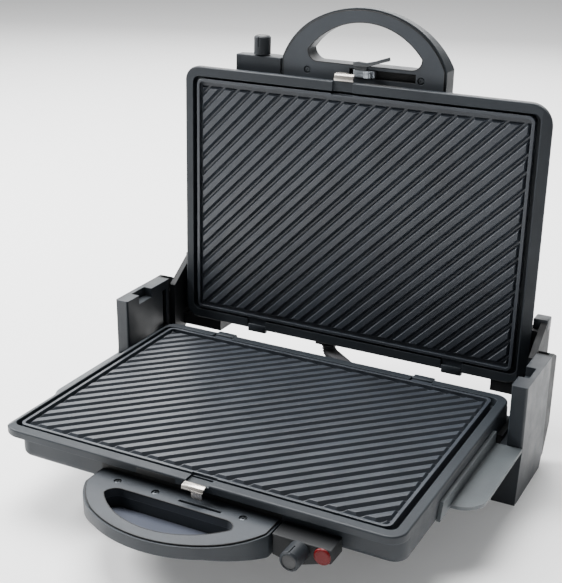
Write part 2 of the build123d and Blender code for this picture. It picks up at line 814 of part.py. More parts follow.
def build_bracket(side, name):
    """Side bracket with a shelf, bolted to the base's wall."""
    wall_at = rim_flush_x if side > 0 else over_wall_x
    shelf_z = (-wing_drop - wing_thick, -wing_drop)
    with BuildPart() as bracket:
        with BuildSketch(base_frame.offset(shelf_z[0])) as shelf:
            low, high = on_side(side, wall_at, tower_outer_x)
            with Locations(((low + high) / 2, (wing_front_y + wing_back_y) / 2)):
                Rectangle(high - low, wing_back_y - wing_front_y)
            outer = shelf.vertices().group_by(Axis.Y)[0].sort_by(Axis.X)[-1 if side > 0 else 0]
            fillet(outer, wing_corner)
        extrude(amount=wing_thick)
        flange = [
            (bracket_front_y, -wing_drop - wing_thick),
            (bracket_front_y + 6, -bracket_top_drop),
            (wing_back_y, -bracket_top_drop),
            (wing_back_y, -wing_drop - wing_thick),
        ]
        side_outline(base_frame, on_side(side, wall_at, wall_at + bracket_thick), flange)
    save(bracket, name)


def build_tower(side, name):
    """Hinge tower with the guide channel that the slider block rides in."""
    outer = on_side(side, tower_inner_x, tower_outer_x)
    core = on_side(side, tower_inner_x + tower_wall, tower_outer_x - tower_wall)
    foot = -parting_height
    under_wing = -wing_drop - wing_thick
    with BuildPart() as tower:
        side_outline(base_frame, outer, [
            (tower_toe_y, foot),
            (tower_heel_y, foot),
            (tower_back_y, -tower_step_drop),
            (tower_back_y, tower_top),
            (tower_front_y, tower_top),
            (tower_front_y, under_wing),
        ])
        side_outline(base_frame, on_side(side, tower_foot_x, tower_inner_x + 1), [
            (tower_toe_y, foot),
            (tower_foot_back_y, foot),
            (tower_foot_back_y, under_wing),
            (tower_front_y, under_wing),
        ])
        front_edges = tower.edges().filter_by(Axis.Z).group_by(Axis.Y)[0]
        fillet(front_edges, tower_edge_round)
        channel_y = (pivot_back - slider_half_depth() - slider_clearance, tower_back_y + 1)
        side_outline(base_frame, core, [
            (tower_toe_y + 2 * tower_wall, foot + tower_wall),
            (channel_y[0] - tower_wall, foot + tower_wall),
            (channel_y[0] - tower_wall, tower_top - tower_wall),
            (tower_front_y + tower_wall, tower_top - tower_wall),
            (tower_front_y + tower_wall, -wing_drop),
        ], Mode.SUBTRACT)
        stop = -pivot_drop - slider_half_height - slider_clearance
        slab(base_frame, core, channel_y, (stop, tower_top - tower_wall), 0, Mode.SUBTRACT)
        below_stop = (-tower_step_drop + tower_wall, stop - tower_wall)
        slab(base_frame, core, channel_y, below_stop, 0, Mode.SUBTRACT)
        slab(base_frame, core, grown(notch_y, tower_wall), (notch_floor - tower_wall, tower_top))
        notch_z = (notch_floor, tower_top + 1)
        slab(base_frame, on_side(side, tower_inner_x - 1, notch_x), notch_y, notch_z, 0, Mode.SUBTRACT)
        slot = pin_radius + slider_clearance
        slot_z = (-pivot_drop - slot, -pivot_drop + lift_travel + slot)
        slot_x = on_side(side, tower_inner_x - 1, tower_inner_x + tower_wall + 1)
        slab(base_frame, slot_x, (pivot_back - slot, pivot_back + slot), slot_z, 0, Mode.SUBTRACT)
    save(tower, name)


def slider_half_depth():
    """Half the slider block's depth, set by the channel in front of the tower's cover."""
    return tower_back_y - pivot_back - slider_clearance


def build_tower_cover(side, name):
    """Rear cover that closes the guide channel."""
    outer = on_side(side, tower_inner_x, tower_outer_x)
    core = on_side(side, tower_inner_x + tower_wall, tower_outer_x - tower_wall)
    with BuildPart() as cover:
        side_outline(base_frame, outer, [
            (tower_back_y, -tower_step_drop),
            (cover_step_y, -tower_step_drop),
            (cover_back_y - 2, -cover_knee_drop),
            (cover_back_y, cover_top_back),
            (cover_top_y, cover_top),
            (tower_back_y, cover_top),
        ])
        inner_front = tower_back_y + tower_wall
        side_outline(base_frame, core, [
            (inner_front, -tower_step_drop + 2 * tower_wall),
            (cover_back_y - 2 - tower_wall, -cover_knee_drop),
            (cover_back_y - tower_wall, cover_pocket_floor - tower_wall),
            (inner_front, cover_pocket_floor - tower_wall),
        ], Mode.SUBTRACT)
        pocket_x = on_side(side, tower_inner_x, tower_outer_x - tower_wall - 1)
        pocket_z = (cover_pocket_floor, cover_top + 1)
        slab(base_frame, pocket_x, (inner_front, cover_top_y), pocket_z, 0, Mode.SUBTRACT)
    save(cover, name)


def build_slider(side, name):
    """Block that carries a hinge pin up and down its tower."""
    inset = tower_wall + slider_clearance
    block_x = on_side(side, tower_inner_x + inset, tower_outer_x - inset)
    block_y = grown((pivot_back, pivot_back), slider_half_depth())
    block_z = grown((-pivot_drop, -pivot_drop), slider_half_height)
    bore_start = (block_x[0] - 1, pivot_back, -pivot_drop)
    with BuildPart() as slider:
        slab(base_frame, block_x, block_y, block_z)
        drill(base_frame, bore_start, base_frame.x_dir, block_x[1] - block_x[0] + 2, pin_radius)
    save(slider, name)


def build_hinge_pin(side, name):
    """Headed pin from the slider block through the tower's slot and the lid's arm."""
    head_x = arm_inner_x - slider_clearance
    tip_x = tower_outer_x - tower_wall - slider_clearance
    along = base_frame.x_dir * side
    seat = (side * head_x, pivot_back, -pivot_drop)
    with BuildPart() as pin:
        round_bar(base_frame, seat, -along, pin_head_thick, pin_head_radius)
        round_bar(base_frame, seat, along, tip_x - head_x, pin_radius)
    save(pin, name)


def build_crossbar(name):
    """Beam under the hinge line that ties the two towers and the base together."""
    foot = -crossbar_foot_drop
    belly_back = rim_back_y - flange_inset - belly_inset_top
    slope = (belly_back - belly_foot_y[1]) / (belly_depth - wall_depth - flange_thick)
    flange_bottom = -wall_depth - flange_thick
    gap = crossbar_belly_gap
    low_front = belly_back - slope * (crossbar_foot_drop + flange_bottom) + gap
    with BuildPart() as crossbar:
        side_outline(base_frame, (-crossbar_x, crossbar_x), [
            (low_front, foot),
            (crossbar_back_y, foot),
            (crossbar_back_y, -crossbar_drop),
            (rim_back_y - flange_inset + gap, -crossbar_drop),
            (rim_back_y - flange_inset + gap, flange_bottom - gap - screw_head_height),
            (belly_back + gap, flange_bottom - gap - screw_head_height),
        ])
        for side, wall_at in ((-1, over_wall_x), (1, rim_flush_x)):
            belly_at = wall_at - flange_inset - belly_inset_top + gap
            under = flange_bottom - gap - screw_head_height
            slab(base_frame, on_side(side, belly_at, tower_foot_x), root_y, (foot, under))
            slab(base_frame, on_side(side, wall_at, tower_foot_x), root_y, (foot, -root_drop))
        hollow_x = grown((-crossbar_x, crossbar_x), -crossbar_wall)
        hollow_y = (low_front + 2 * crossbar_wall + gap, crossbar_back_y - crossbar_wall)
        hollow_z = (foot - 1, -crossbar_drop - 2 * crossbar_wall)
        slab(base_frame, hollow_x, hollow_y, hollow_z, 0, Mode.SUBTRACT)
    save(crossbar, name)


def build_arm(side, name):
    """Arm from the lid's side wall to the hinge pin, with a foot round the lid's corner."""
    wall_at = rim_flush_x if side > 0 else over_wall_x
    lug_at = lug_flush_x if side > 0 else lug_over_x
    thickness = arm_outer_x - arm_inner_x
    pivot_rise = pivot_drop + closed_gap
    outline = [
        (arm_top_y, -arm_back_drop),
        (arm_top_y, -arm_shoulder_drop),
        (arm_knee_y, arm_knee_rise),
        (pivot_back, arm_knee_rise),
        (pivot_back + arm_eye_radius, pivot_rise),
        (pivot_back + arm_eye_radius - 3, arm_knee_rise - 12),
        (arm_back_y, -lug_drop[1] - 8),
        (arm_back_y, -arm_back_drop),
    ]
    arm_x = on_side(side, arm_inner_x, arm_outer_x)
    with BuildPart() as arm:
        side_outline(lid_frame, arm_x, outline)
        eye = (arm_x[0], pivot_back, pivot_rise)
        round_bar(lid_frame, eye, lid_frame.x_dir, thickness, arm_eye_radius)
        boss_z = (-boss_drop[0], -boss_drop[1])
        slab(lid_frame, on_side(side, wall_at, arm_inner_x + 1), boss_y, boss_z)
        lug_z = (-lug_drop[0], -lug_drop[1])
        slab(lid_frame, on_side(side, lug_at, arm_inner_x + 1), (rim_back_y, arm_back_y), lug_z)
        bore_start = (arm_x[0] - 1, pivot_back, pivot_rise)
        drill(lid_frame, bore_start, lid_frame.x_dir, thickness + 2, pin_radius + running_fit)
    save(arm, name)


def build_latch(frame, name):
    """Sliding latch in the lid's handle, with a thumb tab over the finger opening."""
    face = -handle_face_drop
    body_y = grown(latch_slot_y, -slide_clearance)
    floor = face - latch_slot_depth + slide_clearance
    over_face = face + slide_clearance
    hook_top = face + latch_hook_height
    with BuildPart() as latch:
        slab(frame, latch_x, body_y, (floor, over_face + latch_tab_thick))
        slab(frame, latch_tab_x, (-latch_tab_reach, body_y[1]), (over_face, over_face + latch_tab_thick))
        slab(frame, (latch_x[0], latch_x[0] + latch_hook_thick), body_y, (face, hook_top))
        hook_z = (hook_top - latch_tab_thick, hook_top)
        slab(frame, (latch_x[0], latch_x[0] + latch_hook_reach), body_y, hook_z)
    save(latch, name)


def guard_route():
    """Gives the hose's start in its gland, its level direction and run, and its last climb."""
    lid_end = lid_frame.from_local_coords((-guard_lid_x, rim_back_y + guard_lid_gap, -guard_lid_drop))
    wall_point = base_frame.from_local_coords((guard_base_x, rim_back_y, -guard_drop))
    level = Vector(lid_end.X - wall_point.X, lid_end.Y - wall_point.Y, 0)
    along = level.normalized()
    setback = (guard_width / 2 * abs(along.X) + 0.5) / along.Y
    start = wall_point + along * setback
    run = level.length - setback - guard_bend
    rise = lid_end.Z - wall_point.Z - guard_bend
    return start, along, run, rise


def guard_length():
    """Gives the hose's whole length."""
    _, _, run, rise = guard_route()
    return run + guard_bend * pi / 2 + rise


def guard_section(inset):
    """Gives the hose's width and thickness, inset from its ribs."""
    return guard_width - 2 * inset, guard_thick - 2 * inset


def guard_plane(distance):
    """Gives the cross plane of the hose at a distance along it."""
    start, along, run, _ = guard_route()
    across = Vector(0, 0, 1).cross(along)
    quarter = guard_bend * pi / 2
    if distance <= run:
        return Plane(start + along * distance, x_dir=across, z_dir=along)
    centre = start + along * run + Vector(0, 0, guard_bend)
    turn = min(distance - run, quarter) / guard_bend
    heading = along * cos(turn) + Vector(0, 0, sin(turn))
    point = centre + along * (guard_bend * sin(turn)) - Vector(0, 0, guard_bend * cos(turn))
    climb = max(distance - run - quarter, 0)
    return Plane(point + Vector(0, 0, climb), x_dir=across, z_dir=heading)


def build_guard(name):
    """Flat ribbed hose over the wires between the two halves."""
    start, along, _, _ = guard_route()
    length = guard_length()
    mouth = gland_length + rim_back_y - base_frame.to_local_coords(start).Y
    plain = (mouth + guard_width / 2 * abs(along.X)) / along.Y + 1
    ribs = int((length - plain - collar_thick - 1) / guard_rib_pitch)
    stations = [(0.0, guard_groove)]
    for number in range(ribs):
        foot = plain + number * guard_rib_pitch
        stations += [
            (foot + 0.1 * guard_rib_pitch, guard_groove),
            (foot + 0.3 * guard_rib_pitch, 0.0),
            (foot + 0.7 * guard_rib_pitch, 0.0),
            (foot + 0.9 * guard_rib_pitch, guard_groove),
        ]
    stations.append((length, guard_groove))
    with BuildPart() as guard:
        for distance, groove in stations:
            with BuildSketch(guard_plane(distance)):
                RectangleRounded(*guard_section(groove), guard_corner)
        loft(ruled=True)
        for distance, _ in stations:
            with BuildSketch(guard_plane(distance)):
                RectangleRounded(*guard_section(guard_groove + guard_wall), guard_corner - guard_wall)
        loft(ruled=True, mode=Mode.SUBTRACT)
    save(guard, name)


def build_gland(name):
    """Hood on the base's back wall that the hose comes out of."""
    start, along, _, _ = guard_route()
    middle = base_frame.to_local_coords(start)
    hood_x = grown((middle.X, middle.X), guard_width / 2 / along.Y + gland_border)
    hood_z = grown((-guard_drop, -guard_drop), guard_thick / 2 + gland_border)
    with BuildPart() as gland:
        slab(base_frame, hood_x, (rim_back_y, rim_back_y + gland_length), hood_z)
        with BuildSketch(guard_plane(0.0)):
            RectangleRounded(*guard_section(guard_groove), guard_corner)
        extrude(amount=2 * gland_length, mode=Mode.SUBTRACT)
    save(gland, name)


def build_collar(name):
    """Collar on the lid's back wall round the hose's other end."""
    end = guard_plane(guard_length())
    plate_x_pair = grown((-guard_lid_x, -guard_lid_x), guard_width / 2 + gland_border)
    plate_z_pair = grown((-guard_lid_drop, -guard_lid_drop), guard_width / 2 + gland_border)
    with BuildPart() as collar:
        slab(lid_frame, plate_x_pair, (rim_back_y, rim_back_y + collar_thick), plate_z_pair)
        with BuildSketch(end):
            RectangleRounded(*guard_section(guard_groove - collar_clearance), guard_corner)
        extrude(amount=2 * collar_thick, both=True, mode=Mode.SUBTRACT)
    save(collar, name)


def build_inlet(name):
    """Bush in the back wall that the supply cord enters through."""
    along = base_frame.y_dir
    with BuildPart() as inlet:
        round_bar(base_frame, (inlet_x, rim_back_y - wall, -inlet_drop), along, wall, inlet_radius)
        lip_start = (inlet_x, rim_back_y, -inlet_drop)
        round_bar(base_frame, lip_start, along, inlet_lip, inlet_radius + inlet_lip)
        bore_start = (inlet_x, rim_back_y - wall - 1, -inlet_drop)
        drill(base_frame, bore_start, along, wall + inlet_lip + 2, inlet_bore)
    save(inlet, name)


def build_terminal_block(name):
    """Block inside the back wall that joins the supply to the heating parts."""
    floor = -wall_depth + foot_flange_thick
    back = rim_back_y - wall
    with BuildPart() as block:
        block_z = (floor, floor + terminal_block_height)
        slab(base_frame, terminal_block_x, (back - terminal_block_depth, back), block_z)
    save(block, name)


for half, frame in (("base", base_frame), ("lid", lid_frame)):
    is_base = half == "base"
    build_shell(frame, f"{half}_shell", is_base)
    build_plate(frame, f"{half}_plate")
    build_clip(frame, f"{half}_plate_clip")
    build_element(frame, f"{half}_heating_element")
    build_terminals(frame, f"{half}_element_terminals")
    build_clamps(frame, f"{half}_element_clamps")
    build_reflector(frame, f"{half}_heat_reflector")
    build_belly(frame, f"{half}_outer_cover")
    build_belly_screws(frame, f"{half}_cover_screws")
    build_feet(frame, f"{half}_feet")
    build_handle_shell(frame, f"{half}_handle_shell", is_base)
    build_handle_insert(frame, f"{half}_handle_insert", not is_base)
    build_handle_screws(frame, f"{half}_handle_screws")
    build_control_box(frame, f"{half}_control_box", is_base)
    build_thermostat(frame, f"{half}_thermostat")
    build_spindle(frame, f"{half}_knob_spindle")
    build_knob(frame, f"{half}_knob")

build_lamp(base_frame, "pilot_lamp_lens")
for side, word in ((-1, "left"), (1, "right")):
    build_bracket(side, f"{word}_side_bracket")
    build_tower(side, f"{word}_hinge_tower")
    build_tower_cover(side, f"{word}_tower_cover")
    build_slider(side, f"{word}_slider_block")
    build_hinge_pin(side, f"{word}_hinge_pin")
    build_arm(-side, f"{word}_lid_arm")
build_crossbar("hinge_crossbar")
build_latch(lid_frame, "lid_latch")
build_guard("cable_guard")
build_gland("guard_gland")
build_collar("guard_collar")
build_inlet("cord_inlet_bush")
build_terminal_block("terminal_block")
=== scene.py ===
"""Looks of an open electric grill: two ribbed plates in plastic halves, joined by hinge towers.

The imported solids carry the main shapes. This script gives every one of them its finish, adds the
screws, seams, feet, latch, hose and inlays, and sets the floor, the lights and the camera.
Lengths in the dataclasses are millimetres unless a name says otherwise; Blender gets metres.
"""

import json
import logging
import math
from dataclasses import dataclass
from enum import Enum
from typing import Any, Callable, Iterable, Sequence

import bmesh
import bpy
from mathutils import Euler, Matrix, Vector

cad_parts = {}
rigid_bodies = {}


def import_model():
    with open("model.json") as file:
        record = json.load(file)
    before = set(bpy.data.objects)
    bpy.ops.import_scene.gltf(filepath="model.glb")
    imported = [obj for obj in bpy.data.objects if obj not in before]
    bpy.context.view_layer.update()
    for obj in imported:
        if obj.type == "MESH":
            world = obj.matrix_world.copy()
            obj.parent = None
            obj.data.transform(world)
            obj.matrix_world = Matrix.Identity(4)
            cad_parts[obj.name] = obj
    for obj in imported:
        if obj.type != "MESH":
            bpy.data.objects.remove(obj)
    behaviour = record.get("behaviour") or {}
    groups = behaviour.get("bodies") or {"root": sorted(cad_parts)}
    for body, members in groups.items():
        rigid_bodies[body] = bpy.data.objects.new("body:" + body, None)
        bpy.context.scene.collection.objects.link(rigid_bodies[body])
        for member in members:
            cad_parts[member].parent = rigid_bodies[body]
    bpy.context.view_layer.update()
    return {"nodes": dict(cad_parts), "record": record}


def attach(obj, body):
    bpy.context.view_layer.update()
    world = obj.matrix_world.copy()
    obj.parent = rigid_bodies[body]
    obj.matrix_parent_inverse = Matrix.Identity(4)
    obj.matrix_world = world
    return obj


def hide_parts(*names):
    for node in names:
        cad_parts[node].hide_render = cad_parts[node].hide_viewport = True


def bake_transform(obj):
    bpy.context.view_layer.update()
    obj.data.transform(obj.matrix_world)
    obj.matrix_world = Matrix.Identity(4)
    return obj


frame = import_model()

MM = 0.001
SEED = 7
MERGE_DISTANCE = 1e-7
ON_AXIS = 1e-6

NOISE_ROUGHNESS = 0.55
BEVEL_SAMPLES = 6
FULL_SHARE = (0.0, 1.0)

# Wear and painted highlight on edges: corners are lightened both as rubbed wear and as painted
# highlight of rounded edges catching the light. How far it reaches in roundings, how alike the
# bevelled and the flat normal are on a flat and on a corner, and the patches that break it up.
WEAR_AND_SHEEN_REACH = 1.6
WEAR_AND_SHEEN_LIKENESS = (0.995, 0.86)
WEAR_AND_SHEEN_PATCH_SCALE = 160.0
WEAR_AND_SHEEN_PATCH_DETAIL = 4.0
WEAR_AND_SHEEN_PATCH_SPAN = (0.35, 0.6)
WEAR_AND_SHEEN_PATCH_SHARE = (0.45, 1.0)

# Tone and gloss: the spans of noise that run from dark to light and from glossy to dull.
TONE_SPAN = (0.45, 0.9)
FINE_TONE_SHARE = 0.35
FINE_TONE_COARSER = 3
SMEAR_FINER = 2.4
SMEAR_DETAIL = 4.0
SMEAR_SPAN = (0.35, 0.65)

# Swept pieces: how round a bead and a hose's corners are, and how broad a hose's ribs.
BEAD_SIDES = 8
BEAD_CREASE = 60.0
HOSE_CREST_SPAN = (-0.7, 0.5)
HOSE_CORNER_STEPS = 4

Colour = tuple[float, float, float]
Point = tuple[float, float, float]
Pair = tuple[float, float]
Socket = bpy.types.NodeSocket
Piece = bpy.types.Object
log = logging.getLogger("grill")


def linear(red: int, green: int, blue: int) -> Colour:
    """Turns an 8-bit display colour into linear light.

    Args:
        red: Red from 0 to 255.
        green: Green from 0 to 255.
        blue: Blue from 0 to 255.

    Returns:
        The three linear shares.
    """
    return tuple(
        channel / 255 / 12.92 if channel <= 10 else ((channel / 255 + 0.055) / 1.055) ** 2.4
        for channel in (red, green, blue)
    )


class NodeWriter:
    """Adds and joins the nodes of one tree."""

    def __init__(self, tree: bpy.types.NodeTree) -> None:
        """Keeps the tree and empties it."""
        self.tree = tree
        self.tree.nodes.clear()

    def add(
        self, kind: str, inputs: dict[str | int, Any] | None = None, **settings: Any
    ) -> bpy.types.Node:
        """Adds a node.

        Args:
            kind: Blender's name of the node type.
            inputs: Values or other nodes' outputs, by socket name or number.
            **settings: Properties of the node itself.

        Returns:
            The new node.
        """
        node = self.tree.nodes.new(kind)
        for setting, value in settings.items():
            setattr(node, setting, value)
        for key, value in (inputs or {}).items():
            if isinstance(value, Socket):
                self.tree.links.new(value, node.inputs[key])
            else:
                node.inputs[key].default_value = value
        return node

    def math(self, operation: str, first: Any, second: Any = 0.0) -> Socket:
        """Adds a Math node and returns its output."""
        return self.add("ShaderNodeMath", {0: first, 1: second}, operation=operation).outputs[0]

    def remap(self, value: Socket, source: Pair, target: Pair) -> Socket:
        """Maps a value from one span to another and returns the clamped result."""
        return self.add(
            "ShaderNodeMapRange",
            {0: value, 1: source[0], 2: source[1], 3: target[0], 4: target[1]},
        ).outputs[0]

    def mix(self, share: Any, first: Any, second: Any) -> Socket:
        """Mixes two colours by a share and returns the colour."""
        node = self.tree.nodes.new("ShaderNodeMix")
        node.data_type = "RGBA"
        for key, value in ((0, share), (6, first), (7, second)):
            if isinstance(value, Socket):
                self.tree.links.new(value, node.inputs[key])
            elif key == 0:
                node.inputs[key].default_value = value
            else:
                node.inputs[key].default_value = (*value, 1.0)
        return node.outputs[2]

    def noise(self, place: Socket, scale: float, detail: float = 3.0) -> Socket:
        """Adds a noise at a place and returns its value."""
        return self.add(
            "ShaderNodeTexNoise",
            {"Vector": place, "Scale": scale, "Detail": detail, "Roughness": NOISE_ROUGHNESS},
        ).outputs[0]

    def bump(self, height: Socket, depth: float, normal: Socket) -> Socket:
        """Adds a bump of a depth in metres over a normal and returns the new normal."""
        return self.add(
            "ShaderNodeBump",
            {"Strength": 1.0, "Distance": depth, "Height": height, "Normal": normal},
        ).outputs[0]


@dataclass(frozen=True)
class Finish:
    """A surface finish: its colours, its gloss, its grain, and how its edges wear and take a
    painted highlight.
    """

    name: str
    dark: Colour
    light: Colour
    # Lighter colour of the corners: partly rubbed wear, partly painted highlight.
    edge: Colour
    gloss_low: float = 0.42
    gloss_high: float = 0.56
    tone_scale: float = 22.0
    grain_scale: float = 2400.0
    grain_depth: float = 0.00003
    edge_round: float = 0.0005
    wear_and_sheen_share: float = 0.35
    metal: float = 0.0
    specular: float = 0.5
    coat: float = 0.0
    coat_roughness: float = 0.2

    def material(self) -> bpy.types.Material:
        """Builds the finish's material, or gives the one already built.

        Returns:
            The node material.
        """
        known = bpy.data.materials.get(self.name)
        if known:
            return known
        material = bpy.data.materials.new(self.name)
        material.use_nodes = True
        writer = NodeWriter(material.node_tree)
        place = writer.add("ShaderNodeTexCoord").outputs["Object"]
        bevel = writer.add("ShaderNodeBevel", {"Radius": self.edge_round}, samples=BEVEL_SAMPLES)
        edges = self.wear_and_sheen_mask(writer, place)
        # Corners take the edge colour, partly as wear and partly as painted highlight.
        colour = writer.mix(edges, self.tone(writer, place), self.edge)
        shader = writer.add("ShaderNodeBsdfPrincipled", {
            "Base Color": colour,
            "Roughness": self.gloss(writer, place),
            "Normal": self.relief(writer, place, bevel.outputs[0]),
            "Metallic": self.metal,
            "Specular IOR Level": self.specular,
            "Coat Weight": self.coat,
            "Coat Roughness": self.coat_roughness,
        })
        self.trim(shader)
        writer.add("ShaderNodeOutputMaterial", {"Surface": shader.outputs[0]})
        return material

    def wear_and_sheen_mask(self, writer: NodeWriter, place: Socket) -> Socket:
        """Finds the corners, which are lightened both as wear that hands and cloths rub and as
        painted highlight where a rounded edge catches the light.

        Args:
            writer: Writer of the material's tree.
            place: Where on the piece.

        Returns:
            A share from 0 on flats to the finish's wear and sheen share on corners.
        """
        reach = self.edge_round * WEAR_AND_SHEEN_REACH
        wide = writer.add("ShaderNodeBevel", {"Radius": reach}, samples=BEVEL_SAMPLES)
        flat = writer.add("ShaderNodeNewGeometry").outputs["Normal"]
        alike = writer.add(
            "ShaderNodeVectorMath", {0: wide.outputs[0], 1: flat}, operation="DOT_PRODUCT"
        ).outputs["Value"]
        corner = writer.remap(alike, WEAR_AND_SHEEN_LIKENESS, (0.0, self.wear_and_sheen_share))
        blotch = writer.noise(place, WEAR_AND_SHEEN_PATCH_SCALE, WEAR_AND_SHEEN_PATCH_DETAIL)
        patch = writer.remap(blotch, WEAR_AND_SHEEN_PATCH_SPAN, WEAR_AND_SHEEN_PATCH_SHARE)
        return writer.math("MULTIPLY", corner, patch)

    def tone(self, writer: NodeWriter, place: Socket) -> Socket:
        """Varies the colour softly between the dark and the light tone."""
        broad = writer.noise(place, self.tone_scale)
        fine = writer.noise(place, self.grain_scale / FINE_TONE_COARSER, 2.0)
        both = writer.math("ADD", broad, writer.math("MULTIPLY", fine, FINE_TONE_SHARE))
        return writer.mix(writer.remap(both, TONE_SPAN, FULL_SHARE), self.dark, self.light)

    def gloss(self, writer: NodeWriter, place: Socket) -> Socket:
        """Varies the roughness between its low and high value."""
        smear = writer.noise(place, self.tone_scale * SMEAR_FINER, SMEAR_DETAIL)
        return writer.remap(smear, SMEAR_SPAN, (self.gloss_low, self.gloss_high))

    def relief(self, writer: NodeWriter, place: Socket, normal: Socket) -> Socket:
        """Adds the fine grain of the surface over the rounded edges."""
        return writer.bump(writer.noise(place, self.grain_scale, 2.0), self.grain_depth, normal)

    def trim(self, shader: bpy.types.Node) -> None:
        """Sets what only some finishes need. A plain finish needs nothing."""


@dataclass(frozen=True)
class MouldedPlastic(Finish):
    """Plastic from a spark-eroded mould: tiny pits and a very slight waviness."""

    wave_scale: float = 35.0
    wave_depth: float = 0.00006

    def relief(self, writer: NodeWriter, place: Socket, normal: Socket) -> Socket:
        """Lays pits over a slight waviness."""
        wavy = writer.bump(writer.noise(place, self.wave_scale, 2.0), self.wave_depth, normal)
        pits = writer.add(
            "ShaderNodeTexVoronoi",
            {"Vector": place, "Scale": self.grain_scale},
            feature="SMOOTH_F1",
        )
        return writer.bump(pits.outputs["Distance"], self.grain_depth, wavy)


@dataclass(frozen=True)
class NonStickCoating(Finish):
    """Sprayed coating on cast metal: orange peel with fine bright specks."""

    peel_scale: float = 520.0
    peel_depth: float = 0.00005
    speck: Colour = (0.16, 0.17, 0.18)
    speck_scale: float = 900.0
    speck_span: Pair = (0.16, 0.05)
    speck_share: float = 0.3

    def tone(self, writer: NodeWriter, place: Socket) -> Socket:
        """Adds specks to the varied colour."""
        ground = super().tone(writer, place)
        cells = writer.add("ShaderNodeTexVoronoi", {"Vector": place, "Scale": self.speck_scale})
        share = writer.remap(cells.outputs["Distance"], self.speck_span, (0.0, self.speck_share))
        return writer.mix(share, ground, self.speck)

    def relief(self, writer: NodeWriter, place: Socket, normal: Socket) -> Socket:
        """Lays a fine grain over the orange peel."""
        peel = writer.bump(writer.noise(place, self.peel_scale, 2.0), self.peel_depth, normal)
        return writer.bump(writer.noise(place, self.grain_scale, 2.0), self.grain_depth, peel)


@dataclass(frozen=True)
class DrawnMetal(Finish):
    """Metal sheet or wire with brush lines along one direction."""

    metal: float = 1.0
    line_stretch: Point = (60.0, 2600.0, 2600.0)
    line_depth: float = 0.00002

    def relief(self, writer: NodeWriter, place: Socket, normal: Socket) -> Socket:
        """Draws the brush lines."""
        along = writer.add("ShaderNodeMapping", {"Vector": place, "Scale": self.line_stretch})
        lines = writer.noise(along.outputs[0], 1.0)
        return writer.bump(lines, self.line_depth, normal)


@dataclass(frozen=True)
class HeatedSheath(DrawnMetal):
    """Heater sheath with the straw tint that heat leaves."""

    straw: Colour = (0.33, 0.24, 0.13)
    tint_scale: float = 45.0
    tint_span: Pair = (0.4, 0.7)
    tint_share: float = 0.7

    def tone(self, writer: NodeWriter, place: Socket) -> Socket:
        """Mixes a straw tint into the darkened steel."""
        ground = super().tone(writer, place)
        cloud = writer.noise(place, self.tint_scale)
        share = writer.remap(cloud, self.tint_span, (0.0, self.tint_share))
        return writer.mix(share, ground, self.straw)


@dataclass(frozen=True)
class LampLens(Finish):
    """Clear red moulding with small prisms behind its face."""

    prism_scale: float = 900.0
    prism_depth: float = 0.0002
    see_through: float = 0.1
    refraction: float = 1.49

    def relief(self, writer: NodeWriter, place: Socket, normal: Socket) -> Socket:
        """Raises the prisms."""
        cells = writer.add("ShaderNodeTexVoronoi", {"Vector": place, "Scale": self.prism_scale})
        return writer.bump(cells.outputs["Distance"], self.prism_depth, normal)

    def trim(self, shader: bpy.types.Node) -> None:
        """Lets some light through."""
        shader.inputs["Transmission Weight"].default_value = self.see_through
        shader.inputs["IOR"].default_value = self.refraction


